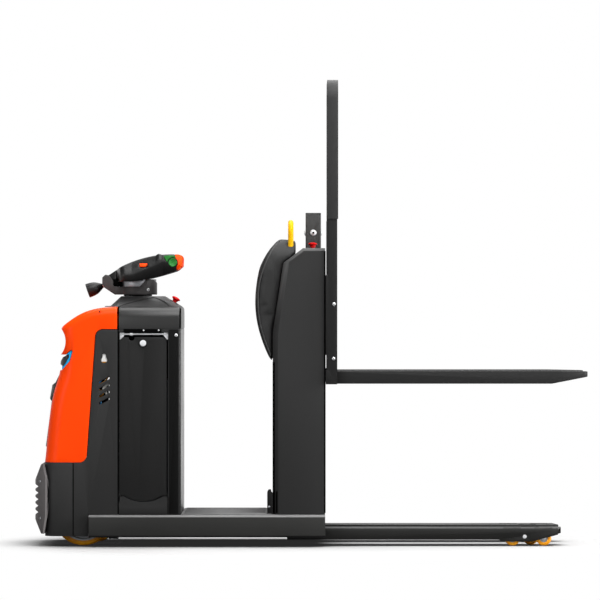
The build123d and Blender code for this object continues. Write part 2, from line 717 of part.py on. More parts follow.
def panel_line(gap):
    # the side panel's rounded front edge, from its top to the skirt, moved forward by gap
    top = PANEL_TOP_Z + gap
    low = SKIRT_TOP_Z - 1
    c = PANEL_CORNER
    over = (PANEL_EDGE_TOP_X + c, top)
    upper = (PANEL_EDGE_TOP_X - gap, top - c)
    lower = (PANEL_EDGE_LOW_X - gap, low + c)
    under = (PANEL_EDGE_LOW_X - c - gap, low)
    lean = (PANEL_EDGE_LOW_X - PANEL_EDGE_TOP_X, low + 2 * c - top)
    bend = TangentArc(lower, under, tangent=lean)
    return [TangentArc(over, upper, tangent=(-1, 0)), Line(upper, lower), bend]


def panel_window():
    line = panel_line(0)
    rear = HOOD_REAR_X + 60
    over = line[0] @ 0
    under = line[2] @ 1
    edges = [Line((rear, over.Y), (over.X, over.Y)), Line((under.X, under.Y), (rear, under.Y)),
             Line((rear, under.Y), (rear, over.Y))]
    return make_face(Curve() + line + edges)


def front_hood():
    hood = hood_block(0) - hood_block(HOOD_WALL)
    half = BODY_HALF + 1
    hood -= side_slab(panel_window(), -half, half)
    # solid behind the scoop and the pocket, so that neither opens into the hood
    core = block(HOOD_BEAK_X - 60, POCKET_X + 8, -half, half, POCKET_LOW_Z - 20, HOOD_BEAK_Z + 16)
    hood += hood_block(0) & core
    hood -= side_slab(scoop(), -half, half)
    hood -= side_slab(pocket(), -half, half)
    return hood


def eye_inner():
    # the black panel's outline inside the blue band, drawn in X and Z
    b = TRIM_BAND
    return shape((HOOD_BEAK_X + 12, POCKET_TOP_Z - 35), (POCKET_X - 18, POCKET_TOP_Z - b - 5),
                 (POCKET_X - 17, POCKET_TOP_Z - b - 18), (POCKET_X - 26, POCKET_TOP_Z - 51),
                 (HOOD_BEAK_X + 14, POCKET_LOW_Z + 24), (HOOD_BEAK_X + 8, POCKET_LOW_Z + 26),
                 (HOOD_BEAK_X - 1, POCKET_LOW_Z + 32), (HOOD_BEAK_X + 2, POCKET_LOW_Z + 49))


def accent_trim():
    half = BODY_HALF - EYE_END_INSET
    inside = shape((HOOD_BEAK_X + 25, POCKET_TOP_Z - 27), (POCKET_X - 6, POCKET_TOP_Z - 3),
                   (POCKET_X - 1, POCKET_TOP_Z - 9), (POCKET_X - 14, POCKET_TOP_Z - 53),
                   (HOOD_BEAK_X + 8, POCKET_LOW_Z + 6), (HOOD_BEAK_X + 8, POCKET_LOW_Z + 25),
                   (HOOD_BEAK_X + 14, POCKET_LOW_Z + 24), (POCKET_X - 26, POCKET_TOP_Z - 51),
                   (POCKET_X - 17, POCKET_TOP_Z - TRIM_BAND - 18),
                   (POCKET_X - 18, POCKET_TOP_Z - TRIM_BAND - 5))
    return side_slab(inside, -half, half) & side_slab(pocket(), -half, half) & hood_block(0)


def front_insert():
    half = BODY_HALF - EYE_END_INSET
    eye = side_slab(eye_inner(), -half, half) & hood_block(-EYE_PROUD)
    strip = INSERT_STRIP
    start = (HOOD_BEAK_X - strip, POCKET_LOW_Z - strip)
    neck = (HOOD_WAIST_X - strip, HOOD_WAIST_Z + 5 * strip)
    tail = (INSERT_BULGE_X + 2 * strip, INSERT_BULGE_Z - 3 * strip)
    spine = shape(start, neck, (INSERT_BROW_X, INSERT_BROW_Z), (INSERT_BULGE_X, INSERT_BULGE_Z), tail,
                  (INSERT_END_X, INSERT_LOW_Z), (POCKET_X, INSERT_LOW_Z), (POCKET_X, POCKET_LOW_Z - strip))
    bar = side_slab(spine, -INSERT_HALF, INSERT_HALF) - hood_block(0)
    return [eye] + list(bar.solids())


def slot_cut(x, z, y0, y1):
    face = Pos(x, z) * Rot(0, 0, SLOT_TILT) * SlotOverall(SLOT_LENGTH, SLOT_WIDTH)
    return side_slab(face, y0, y1)


def side_panel():
    y0 = -BODY_HALF
    y1 = -BODY_HALF + COVER_WALL
    low = SKIRT_BOTTOM_Z
    rear = BOX_FRONT_X - PANEL_GAP * 2
    foot = RAIL_FRONT_X - PANEL_GAP
    seam = SKIRT_SEAM_X + PANEL_GAP
    line = panel_line(-PANEL_GAP)
    over = line[0] @ 0
    under = line[2] @ 1
    edges = Polyline((under.X, under.Y), (seam, under.Y), (seam, low), (foot, low), (foot, DECK_Z + 1),
                     (rear, DECK_Z + 1), (rear, over.Y), (over.X, over.Y))
    face = make_face(Curve() + line + [edges])
    panel = side_slab(face, y0, y1)
    key = Pos(KEYHOLE_X, KEYHOLE_Z) * Circle(KEYHOLE_R)
    key += Pos(KEYHOLE_X, KEYHOLE_Z + KEYHOLE_RISE) * Circle(KEYHOLE_TOP_R)
    key += Pos(KEYHOLE_X, KEYHOLE_Z + KEYHOLE_RISE / 2) * Rectangle(2 * KEYHOLE_TOP_R, KEYHOLE_RISE)
    panel -= side_slab(key, y0 - 1, y1 + 1)
    for i in range(SLOT_COUNT):
        panel -= slot_cut(SLOT_X, SLOT_TOP_Z - SLOT_PITCH * i, y0 - 1, y1 + 1)
    return panel


# Drive unit and castor

def drive_gearbox():
    top = DRIVE_PLATE_Z + DRIVE_PLATE_T
    wheel_y1 = DRIVE_Y + DRIVE_WHEEL_W / 2
    y0 = wheel_y1 + GEARBOX_GAP
    x0 = DRIVE_X - GEARBOX_HALF_X
    x1 = DRIVE_X + GEARBOX_HALF_X
    under = DRIVE_PLATE_Z - TURNTABLE_T
    toe = GEARBOX_HALF_X / 2
    low = shape((x0, DRIVE_WHEEL_R), (x0, under), (x1, under), (x1, DRIVE_WHEEL_R),
                (DRIVE_X + toe, GEARBOX_LOW_Z), (DRIVE_X - toe, GEARBOX_LOW_Z))
    box = side_slab(low, y0, y0 + GEARBOX_T)
    box += rod_z(DRIVE_X, DRIVE_Y, TURNTABLE_R, DRIVE_PLATE_Z - TURNTABLE_T, DRIVE_PLATE_Z - BODY_GAP)
    box += rod_z(DRIVE_X, DRIVE_Y, TURNTABLE_NECK_R, DRIVE_PLATE_Z - BODY_GAP, top + BODY_GAP)
    box += rod_y(DRIVE_X, DRIVE_WHEEL_R, DRIVE_AXLE_R, DRIVE_Y - DRIVE_WHEEL_W / 2 + DRIVE_DISH, y0)
    return box


def drive_motor():
    low = DRIVE_PLATE_Z + DRIVE_PLATE_T + BODY_GAP
    motor = rod_z(DRIVE_X, DRIVE_Y, TURNTABLE_R, low, low + TURNTABLE_T)
    motor += rod_z(DRIVE_X, DRIVE_Y, MOTOR_R, low + TURNTABLE_T, low + MOTOR_H)
    motor += rod_z(DRIVE_X, DRIVE_Y, MOTOR_R * 0.6, low + MOTOR_H, low + MOTOR_H + 40)
    return motor


def drive_wheel():
    y0 = DRIVE_Y - DRIVE_WHEEL_W / 2
    y1 = DRIVE_Y + DRIVE_WHEEL_W / 2
    hub_r = DRIVE_WHEEL_R - DRIVE_TYRE_T
    hub = rod_y(DRIVE_X, DRIVE_WHEEL_R, hub_r, y0, y1)
    hub -= rod_y(DRIVE_X, DRIVE_WHEEL_R, DRIVE_AXLE_R + RUN_FIT, y0 - 1, y1 + 1)
    hub -= rod_y(DRIVE_X, DRIVE_WHEEL_R, hub_r - 20, y0 - 1, y0 + DRIVE_DISH)
    tyre = rod_y(DRIVE_X, DRIVE_WHEEL_R, DRIVE_WHEEL_R, y0, y1)
    tyre -= rod_y(DRIVE_X, DRIVE_WHEEL_R, hub_r, y0 - 1, y1 + 1)
    return hub, tyre


def castor_fork():
    axle_x = CASTOR_X + CASTOR_TRAIL
    half = CASTOR_WHEEL_W / 2 + WHEEL_SIDE_GAP
    low = CASTOR_CROWN_Z - CASTOR_PLATE_T
    out = half + CASTOR_PLATE_T
    front = CASTOR_X - CASTOR_CROWN_FRONT
    rear = axle_x + CASTOR_CROWN_REAR
    foot = CASTOR_WHEEL_R - CASTOR_LEG_END
    crown = block(front, rear, CASTOR_Y - out, CASTOR_Y + out, low, CASTOR_CROWN_Z)
    leg = shape((front, low), (rear, low), (axle_x + CASTOR_LEG_END, foot), (axle_x - CASTOR_LEG_END, foot))
    for s in (-1, 1):
        a, b = sorted((CASTOR_Y + s * half, CASTOR_Y + s * out))
        crown += side_slab(leg, a, b)
    crown += rod_y(axle_x, CASTOR_WHEEL_R, CASTOR_AXLE_R, CASTOR_Y - half, CASTOR_Y + half)
    crown += rod_z(CASTOR_X, CASTOR_Y, CASTOR_STEM_R, CASTOR_CROWN_Z, CASTOR_CROWN_Z + CASTOR_STEM_L)
    return crown


def castor_wheel():
    axle_x = CASTOR_X + CASTOR_TRAIL
    y0 = CASTOR_Y - CASTOR_WHEEL_W / 2
    y1 = CASTOR_Y + CASTOR_WHEEL_W / 2
    hub_r = CASTOR_WHEEL_R - CASTOR_TYRE_T
    hub = rod_y(axle_x, CASTOR_WHEEL_R, hub_r, y0, y1)
    hub -= rod_y(axle_x, CASTOR_WHEEL_R, CASTOR_AXLE_R + RUN_FIT, y0 - 1, y1 + 1)
    tyre = rod_y(axle_x, CASTOR_WHEEL_R, CASTOR_WHEEL_R, y0, y1)
    tyre -= rod_y(axle_x, CASTOR_WHEEL_R, hub_r, y0 - 1, y1 + 1)
    return hub, tyre


def pump_unit():
    low = DRIVE_PLATE_Z + DRIVE_PLATE_T
    unit = block(PUMP_X - PUMP_TANK_D / 2, PUMP_X + PUMP_TANK_D / 2, PUMP_Y - PUMP_TANK_W / 2,
                 PUMP_Y + PUMP_TANK_W / 2, low, low + PUMP_TANK_H)
    top = low + PUMP_TANK_H
    unit += rod_z(PUMP_X, PUMP_Y, PUMP_MOTOR_R, top, top + PUMP_MOTOR_H)
    return unit


# Battery box, door and console

def sag_outline(x0, x1, top, flat, sag):
    # a plate whose lower edge hangs in an arc between two short flats
    a = (x0 + DOOR_FLAT_W, flat)
    b = (x1 - DOOR_FLAT_W, flat)
    mid = ((x0 + x1) / 2, flat - sag)
    lines = [Line((x0, top), (x0, flat)), Line((x0, flat), a), ThreePointArc(a, mid, b),
             Line(b, (x1, flat)), Line((x1, flat), (x1, top)), Line((x1, top), (x0, top))]
    return make_face(Curve() + lines)


def battery_frame():
    w = BOX_WALL
    frame = block(BOX_FRONT_X, BOX_REAR_X, -BODY_HALF, BODY_HALF, DECK_Z, BOX_TOP_Z)
    rear_edges = [e for e in frame.edges().filter_by(Axis.Z) if e.center().X > BOX_REAR_X - 1]
    frame = fillet(rear_edges, BOX_CORNER_R)
    frame -= block(BOX_FRONT_X + w, BOX_REAR_X - w, -BODY_HALF + w, BODY_HALF - w, DECK_Z - 1, BOX_TOP_Z - w)
    x0 = BOX_FRONT_X - 1
    x1 = POST_X
    head = BOX_TOP_Z - DOOR_HEAD
    opening = sag_outline(x0, x1, head, DOOR_FLAT_Z, DOOR_SAG)
    frame -= side_slab(opening, -BODY_HALF - 1, -BODY_HALF + w)
    behind = -BODY_HALF + DOOR_INSET + DOOR_T + PANEL_GAP
    foot = DOOR_FLAT_Z - DOOR_SAG
    frame -= block(BOX_FRONT_X - 1, BOX_FRONT_X + w + 1, -BODY_HALF - 1, behind, foot, head)
    # rail behind the door's foot that the door tilts on
    frame += block(BOX_FRONT_X + w, POST_X, -BODY_HALF + DOOR_INSET + DOOR_T + 2, -BODY_HALF + 26,
                   foot - 24, foot - 12)
    frame += block(BOX_FRONT_X + w, POST_X, -BODY_HALF + w, -BODY_HALF + 26,
                   foot - 24, foot - 18)
    # the post's inner leg, and the lug for the door's other pin
    frame += block(POST_X, POST_X + w, -BODY_HALF, -BODY_HALF + 30, DECK_Z, BOX_TOP_Z - w)
    hinge_z = DOOR_FLAT_Z + HINGE_RISE
    frame += block(BOX_FRONT_X, DOOR_FRONT_X - 0.5, -BODY_HALF, behind, hinge_z - HINGE_LUG_H / 2,
                   hinge_z + HINGE_LUG_H / 2)
    door_y = -BODY_HALF + DOOR_INSET + DOOR_T / 2
    frame -= rod_x(door_y, hinge_z, HINGE_PIN_R + RUN_FIT, BOX_FRONT_X - 1, POST_X + w + 1)
    frame -= rod_z(STEER_X, 0, STEER_SHAFT_R + 8, BOX_TOP_Z - w - 1, BOX_TOP_Z + 1)
    return frame


def battery_door():
    y0 = -BODY_HALF + DOOR_INSET
    face = sag_outline(DOOR_FRONT_X, DOOR_REAR_X, DOOR_TOP_Z, DOOR_FLAT_Z + PANEL_GAP, DOOR_SAG)
    corners = [v for v in face.vertices() if v.Y > DOOR_TOP_Z - 1]
    face = chamfer(corners, DOOR_CORNER)
    door = side_slab(face, y0, y0 + DOOR_T)
    mid = (DOOR_FRONT_X + DOOR_REAR_X) / 2
    door += rod_x(y0 + DOOR_T / 2, DOOR_FLAT_Z + HINGE_RISE, HINGE_PIN_R, BOX_FRONT_X, POST_X + BOX_WALL)
    door -= rod_y(mid, LATCH_Z, LATCH_SHAFT_R + RUN_FIT, y0 - 1, y0 + DOOR_T + 1)
    door -= rod_y(FINGER_HOLE_X, FINGER_HOLE_Z, FINGER_HOLE_R, y0 - 1, y0 + DOOR_T + 1)
    return door


def door_latch():
    mid = (DOOR_FRONT_X + DOOR_REAR_X) / 2
    y0 = -BODY_HALF + DOOR_INSET
    back = -BODY_HALF + BOX_WALL + 2 * DOOR_ROD_R + 5
    knob = rod_y(mid, LATCH_Z, LATCH_R, y0 - LATCH_PROUD, y0 - BODY_GAP)
    knob += rod_y(mid, LATCH_Z, LATCH_SHAFT_R, y0 - BODY_GAP, back)
    knob += block(mid - 9, mid + LATCH_TONGUE, back, back + 4, LATCH_Z - 9, LATCH_Z + 9)
    return knob


def door_rod():
    y = -BODY_HALF + BOX_WALL + DOOR_ROD_R + 2
    x0 = BOX_FRONT_X + BOX_WALL
    x1 = POST_X
    bar = rod_x(y, DOOR_ROD_Z, DOOR_ROD_R, x0, x1)
    top = BOX_TOP_Z - BOX_WALL
    for x, s in ((x0, 1), (x1, -1)):
        tri = shape((x, top), (x + s * GUSSET_W, top), (x + s * GUSSET_W, DOOR_ROD_Z - 8),
                    (x + s * 6, top - GUSSET_H), (x, top - GUSSET_H))
        bar += side_slab(tri, y - GUSSET_T / 2, y + GUSSET_T / 2)
    return bar


def battery_pack():
    w = BOX_WALL + PACK_GAP
    return block(BOX_FRONT_X + w, BOX_REAR_X - w, -BODY_HALF + 40, BODY_HALF - w, DECK_Z, DECK_Z + PACK_H)


def console_top(grow):
    # the sloping top, its two long sides moved out by grow
    base = CONSOLE_BASE_HALF + grow
    half = CONSOLE_CREST_HALF + grow
    foot = shape((CONSOLE_LIP_X, -base), (CONSOLE_FOOT_X, -base), (CONSOLE_FOOT_X, base),
                 (CONSOLE_LIP_X, base))
    crest = shape((CONSOLE_CREST_FRONT_X, -half), (CONSOLE_CREST_REAR_X, -half), (CONSOLE_CREST_REAR_X, half),
                  (CONSOLE_CREST_FRONT_X, half))
    return loft([Plane.XY.offset(CONSOLE_LOW_Z) * foot, Plane.XY.offset(CONSOLE_CREST_Z) * crest])


def console():
    low = block(BOX_FRONT_X, BOX_REAR_X, -BODY_HALF, BODY_HALF, BOX_TOP_Z, CONSOLE_LOW_Z)
    long_edges = [e for e in low.edges().filter_by(Axis.X) if e.center().Z > CONSOLE_LOW_Z - 1]
    low = fillet(long_edges, CONSOLE_EDGE_R)
    rim = [e for e in low.edges() if e.center().X > BOX_REAR_X - 1 and e.center().Z > BOX_TOP_Z + 1]
    low = fillet(rim, BOX_CORNER_R)
    body = low + console_top(0)
    # a sunk panel with an arched edge on each sloping side
    front = (ARCH_FRONT_X, CONSOLE_LOW_Z)
    peak = (ARCH_PEAK_X, ARCH_PEAK_Z)
    rear = (ARCH_REAR_X, CONSOLE_LOW_Z)
    rise = ThreePointArc(front, (ARCH_MID_X, ARCH_MID_Z), peak)
    fall = ThreePointArc(peak, (ARCH_FALL_X, ARCH_FALL_Z), rear)
    arch = [rise, fall, Line(rear, front)]
    skin = console_top(0) - console_top(-ARCH_DEEP)
    body -= skin & side_slab(make_face(Curve() + arch), -BODY_HALF, BODY_HALF)
    flange_x = CONSOLE_LIP_X - CONSOLE_FLANGE
    body += block(flange_x, CONSOLE_LIP_X + 20, -CONSOLE_BASE_HALF, CONSOLE_BASE_HALF, CONSOLE_LOW_Z,
                  CONSOLE_LOW_Z + CONSOLE_FLANGE_T)
    w = CONSOLE_WALL
    body -= block(BOX_FRONT_X + w, BOX_REAR_X - w, -BODY_HALF + w, BODY_HALF - w, BOX_TOP_Z - 1,
                  CONSOLE_LOW_Z - CONSOLE_EDGE_R)
    hub_low = CONSOLE_CREST_Z - STEER_SHAFT_L - 10
    body += rod_z(STEER_X, 0, STEER_SHAFT_R + 14, hub_low, CONSOLE_LOW_Z)
    body -= rod_z(STEER_X, 0, STEER_SHAFT_R + RUN_FIT, CONSOLE_CREST_Z - STEER_SHAFT_L, CONSOLE_CREST_Z + 1)
    boss = console_stop_place() * Pos(0, 0, -STOP_STEM_L / 2) * Cylinder(STOP_CAP_R, STOP_STEM_L)
    body += boss
    return body - console_stop_place() * Cylinder(STOP_STEM_R + RUN_FIT, 2 * STOP_STEM_L + 16)


# Emergency stops

def console_stop_place():
    return Pos(CONSOLE_STOP_X, CONSOLE_STOP_Y, CONSOLE_STOP_Z) * Rot(0, CONSOLE_STOP_TILT, 0)


def stop_button(neck):
    # stands on z = 0, stem below; the cap stays clear by more than its travel
    gap = STOP_TRAVEL + BODY_GAP
    part = Pos(0, 0, (gap + neck) / 2) * Cylinder(STOP_NECK_R, neck - gap)
    cap = Pos(0, 0, neck + STOP_CAP_H / 2) * Cylinder(STOP_CAP_R, STOP_CAP_H)
    rim = [e for e in cap.edges() if e.center().Z > neck + STOP_CAP_H - 0.1]
    part += fillet(rim, STOP_CAP_H * 0.45)
    part += Pos(0, 0, (gap - STOP_STEM_L) / 2) * Cylinder(STOP_STEM_R, STOP_STEM_L + gap)
    return part


# Steering

def steering_head():
    ring_low = CONSOLE_CREST_Z + BODY_GAP
    head = rod_z(STEER_X, 0, STEER_SHAFT_R, CONSOLE_CREST_Z - STEER_SHAFT_L + 2, ring_low)
    head += rod_z(STEER_X, 0, STEER_RING_R, ring_low, HEAD_LOW_Z)
    base = rod_z(STEER_X, 0, HEAD_R, HEAD_LOW_Z, HEAD_TOP_Z)
    neck_x = STEER_X - HEAD_R - 12
    base += block(neck_x, STEER_X, -ARM_HALF, ARM_HALF, HEAD_LOW_Z, HEAD_TOP_Z)
    # a wall round the drum, which rises towards the operator
    rim = HEAD_TOP_Z + DRUM_H
    reach = STEER_X + HEAD_R
    wall = shape((CUP_X, HEAD_TOP_Z), (CUP_X + CUP_RISE, rim), (reach - CUP_CORNER, rim),
                 (reach, rim - CUP_CORNER), (reach, HEAD_TOP_Z))
    cup = rod_z(STEER_X, 0, HEAD_R, HEAD_TOP_Z, rim) - rod_z(STEER_X, 0, DRUM_R + BODY_GAP, HEAD_TOP_Z, rim)
    base += cup & side_slab(wall, -HEAD_R, HEAD_R)
    head += base
    front = ELBOW_X - ELBOW_R - 3
    arm = shape((neck_x + 30, HEAD_LOW_Z), (neck_x - 4, HEAD_LOW_Z), (ELBOW_X - 11, ELBOW_Z - 41),
                (front, ELBOW_Z - 22), (front, ELBOW_Z + 8), (ELBOW_X - 8, ELBOW_Z + ELBOW_R + 2),
                (ELBOW_X + 10, ELBOW_Z + ELBOW_R - 4), (neck_x + 10, HEAD_TOP_Z), (neck_x + 30, HEAD_TOP_Z))
    head += side_slab(arm, -ARM_HALF, ARM_HALF)
    eye_r = ELBOW_R - 3
    hollow = shape((ELBOW_X - eye_r, ELBOW_Z), (ELBOW_X - eye_r, ELBOW_Z + 40), (neck_x + 60, ELBOW_Z + 40),
                   (neck_x + 60, HEAD_TOP_Z), (neck_x + 4, HEAD_TOP_Z), (ELBOW_X + 4, ELBOW_Z - eye_r))
    hollow += Pos(ELBOW_X, ELBOW_Z) * Circle(eye_r)
    head -= side_slab(hollow, -ARM_SLOT_HALF, ARM_SLOT_HALF)
    head += rod_y(ELBOW_X, ELBOW_Z, ELBOW_PIN_R, -ARM_SLOT_HALF, ARM_SLOT_HALF)
    hole = knob_place() * Pos(0, 0, KNOB_STUD_L - 6) * Cylinder(KNOB_STUD_R + RUN_FIT, 2 * KNOB_STUD_L)
    return head - hole


def steering_drum():
    return rod_z(STEER_X, 0, DRUM_R, HEAD_TOP_Z, HEAD_TOP_Z + DRUM_H)


def handle_profile():
    tail = (ELBOW_X + 12, ELBOW_Z + 22)
    brow = (HANDLE_TIP_X - 20, HANDLE_TOP_Z)
    chin = (HANDLE_TIP_X - 26, HANDLE_CHIN_Z)
    heel = (HANDLE_UNDER_X, HANDLE_UNDER_Z)
    top = Spline(tail, (HANDLE_MID_X, HANDLE_MID_TOP_Z), brow, tangents=[(0.8, 0.6), (1, -0.05)])
    tip = (HANDLE_TIP_X, HANDLE_NOSE_Z)
    jaw = (HANDLE_TIP_X - 2, HANDLE_JAW_Z)
    nose = [TangentArc(brow, tip, tangent=(1, -0.05)), Line(tip, jaw), Line(jaw, chin)]
    under = Spline(chin, (HANDLE_MID_X, HANDLE_MID_LOW_Z), heel, tangents=[(-0.95, -0.3), (-1, 0)])
    return make_face(Curve() + [top, *nose, under, Line(heel, tail)])


def handle_plan():
    slot = ARM_SLOT_HALF - 1
    tail = ELBOW_X - ELBOW_R
    neck = STEER_X - HEAD_R - HANDLE_NECK_L
    wide = neck + HANDLE_SHOULDER_L
    tip = HANDLE_TIP_X + 20
    near = [(tail, -slot), (neck, -slot), (wide, -HANDLE_HALF), (tip, -HANDLE_HALF), (tip, -HANDLE_GAP_HALF),
            (HANDLE_GAP_X, -HANDLE_GAP_HALF)]
    face = shape(*near, *[(x, -y) for x, y in reversed(near)])
    rounds = [v for v in face.vertices() if abs(v.Y) > slot + 1 and v.X < HANDLE_TIP_X]
    return fillet(rounds, HANDLE_CORNER_R)


def handle_whole():
    body = side_slab(handle_profile(), -HANDLE_HALF, HANDLE_HALF)
    body = body & plan_slab(handle_plan(), ELBOW_Z - HANDLE_CUT_LOW, ELBOW_Z + HANDLE_CUT_HIGH)
    return body


def cap_cut():
    lean = 18
    return shape((HANDLE_CAP_X - lean / 2, ELBOW_Z + 140), (HANDLE_TIP_X + 40, ELBOW_Z + 140),
                 (HANDLE_TIP_X + 40, ELBOW_Z), (HANDLE_CAP_X + lean / 2, ELBOW_Z))


def steering_handle():
    body = handle_whole() - side_slab(cap_cut(), -HANDLE_HALF - 1, HANDLE_HALF + 1)
    slot = ARM_SLOT_HALF - 1
    eye = rod_y(ELBOW_X, ELBOW_Z, ELBOW_PIN_R + 6, -slot, slot)
    # the middle clears the drum, and the link drops between the arm's cheeks
    middle_low = HEAD_TOP_Z + DRUM_H + HANDLE_CLEAR
    link_x = STEER_X - DRUM_R - LINK_GAP
    body -= block(link_x, HANDLE_GAP_X + 1, -HANDLE_GAP_HALF, HANDLE_GAP_HALF, ELBOW_Z - 60, middle_low)
    link = shape((ELBOW_X - 6, ELBOW_Z + 12), (ELBOW_X + 14, ELBOW_Z + 24), (link_x + 20, middle_low + 14),
                 (link_x + 20, middle_low), (link_x + 6, middle_low), (link_x + 6, HANDLE_UNDER_Z + 2),
                 (link_x, ELBOW_Z - LINK_DROP), (link_x - 7, ELBOW_Z - LINK_DROP),
                 (ELBOW_X + 4, ELBOW_Z - 13))
    body += side_slab(link, -slot, slot) + eye
    body -= rod_y(ELBOW_X, ELBOW_Z, ELBOW_PIN_R + RUN_FIT, -slot - 1, slot + 1)
    for s in (-1, 1):
        a, b = sorted((s * (HANDLE_HALF - BUTTON_T), s * (HANDLE_HALF + 1)))
        g = BODY_GAP
        body -= block(BUTTON_X - BUTTON_W / 2 - g, BUTTON_X + BUTTON_W / 2 + g, a, b,
                      BUTTON_Z - BUTTON_H / 2 - g, BUTTON_Z + BUTTON_H / 2 + g)
        a, b = sorted((s * (HANDLE_HALF - 30), s * (HANDLE_HALF + 1)))
        body -= rod_y(THUMB_X, THUMB_Z, THUMB_PIN_R + RUN_FIT, a, b)
    # two grips, each bolted flat against the middle piece
    gap = HANDLE_GAP_HALF
    back = ELBOW_X - HANDLE_CUT_LOW
    low = ELBOW_Z - HANDLE_CUT_LOW
    high = ELBOW_Z + HANDLE_CUT_HIGH
    grips = [block(back, HANDLE_TIP_X, -HANDLE_HALF - 1, -gap, low, high),
             block(back, HANDLE_TIP_X, gap, HANDLE_HALF + 1, low, high)]
    middle = block(back, HANDLE_TIP_X, -gap, gap, low, high)
    return [body & middle] + [body & grip for grip in grips]


def grip_caps():
    caps = handle_whole() & side_slab(cap_cut(), -HANDLE_HALF - 1, HANDLE_HALF + 1)
    return list(caps.solids())


def thumb_control():
    y1 = -HANDLE_HALF - BODY_GAP
    wing = shape((THUMB_X - 38, THUMB_Z + 29), (THUMB_X - 2, THUMB_Z + 31), (THUMB_X + 20, THUMB_Z + 8),
                 (THUMB_X - 6, THUMB_Z - 20), (THUMB_X - 22, THUMB_Z + 10))
    body = rod_y(THUMB_X, THUMB_Z, THUMB_R, y1 - THUMB_T, y1) + side_slab(wing, y1 - THUMB_T, y1)
    body += rod_y(THUMB_X, THUMB_Z, THUMB_PIN_R, y1, -HANDLE_HALF + 24)
    return body


def grip_button():
    y0 = -HANDLE_HALF - BUTTON_PROUD
    return block(BUTTON_X - BUTTON_W / 2, BUTTON_X + BUTTON_W / 2, y0, y0 + BUTTON_T,
                 BUTTON_Z - BUTTON_H / 2, BUTTON_Z + BUTTON_H / 2)


def knob_place():
    # the stud leaves the arm down to the front
    return Pos(ELBOW_X - 8, 0, ELBOW_Z - 25) * Rot(0, -90 - KNOB_TILT, 0)


def clamp_knob():
    stud = Pos(0, 0, (KNOB_STUD_L - 3) / 2) * Cylinder(KNOB_STUD_R, KNOB_STUD_L + 7)
    z0 = KNOB_STUD_L
    z1 = KNOB_STUD_L + KNOB_L
    narrow = (KNOB_NARROW_R, z0)
    wide = (KNOB_WIDE_R, z1)
    side = Spline(narrow, (KNOB_BELLY_R, z0 + KNOB_BELLY_L), wide, tangents=[(0.5, 0.87), (0, 1)])
    lines = [Line((0, z0), narrow), side, Line(wide, (0, z1)), Line((0, z1), (0, z0))]
    bell = revolve(Plane.XZ * make_face(Curve() + lines), axis=Axis.Z)
    return knob_place() * (stud + bell)


# Mast

def mast_outline(inset):
    x1 = MAST_FRONT_X - inset
    x0 = MAST_BACK_X + inset
    low = DECK_Z - (1 if inset else 0)
    top = MAST_TOP_Z - inset
    return shape((x0, low), (x0, MAST_KINK_Z), (MAST_SHOULDER_X + inset, MAST_SHOULDER_Z - inset / 2),
                 (MAST_CREST_X + inset / 2, top), (x1, top), (x1, low))


def mast_block(inset):
    # both long sides are bevelled: wide up the back, narrow over the top
    half = MAST_HALF - inset
    body = side_slab(mast_outline(inset), -half, half)
    rims = [e for e in side_rims(body, half) if e.center().X < MAST_CREST_X and e.center().Z > DECK_Z + 1]
    body = chamfer([e for e in rims if e.center().Z < MAST_SHOULDER_Z - 20], MAST_BEVEL)
    rims = [e for e in side_rims(body, half) if e.center().X < MAST_FRONT_X - inset - 1]
    return chamfer([e for e in rims if e.center().Z > MAST_SHOULDER_Z], MAST_TOP_BEVEL)


def mast_cover():
    w = MAST_WALL
    cover = mast_block(0) - mast_block(w)
    cover -= block(MAST_FRONT_X - w - 1, MAST_FRONT_X + 1, -MAST_OPEN_HALF, MAST_OPEN_HALF, DECK_Z - 1,
                   MAST_TOP_Z - w)
    hole = rod_z(MAST_STOP_X, MAST_STOP_Y, STOP_STEM_R + RUN_FIT, MAST_TOP_Z - w - 1, MAST_TOP_Z + 1)
    return cover - hole


def mast_channels():
    low = FOOT_TOP_Z
    top = MAST_TOP_Z - MAST_WALL - CHANNEL_HEAD
    parts = None
    for s in (-1, 1):
        a, b = sorted((s * CHANNEL_TIP_Y, s * CHANNEL_OUT_Y))
        beam = block(CHANNEL_BACK_X, CHANNEL_FRONT_X, a, b, low, top)
        a, b = sorted((s * (CHANNEL_TIP_Y - 1), s * (CHANNEL_OUT_Y - CHANNEL_WEB_T)))
        x0 = CHANNEL_BACK_X + CHANNEL_FLANGE_T
        beam -= block(x0, x0 + CHANNEL_GAP, a, b, low - 1, top + 1)
        parts = beam if parts is None else parts + beam
    back = CHANNEL_BACK_X - MAST_TIE_T
    for z in (MAST_TIE_LOW_Z, MAST_TIE_TOP_Z):
        parts += block(back, CHANNEL_BACK_X, -CHANNEL_OUT_Y, CHANNEL_OUT_Y, z, z + MAST_TIE_H)
    # chain anchor on the lower tie
    x = CYL_X - CHAIN_R - CHAIN_T / 2
    parts += block(CHANNEL_BACK_X, x + CHAIN_T, -CHAIN_W / 2 - 6, CHAIN_W / 2 + 6,
                   MAST_TIE_LOW_Z + MAST_TIE_H - 30, MAST_TIE_LOW_Z + MAST_TIE_H)
    return parts


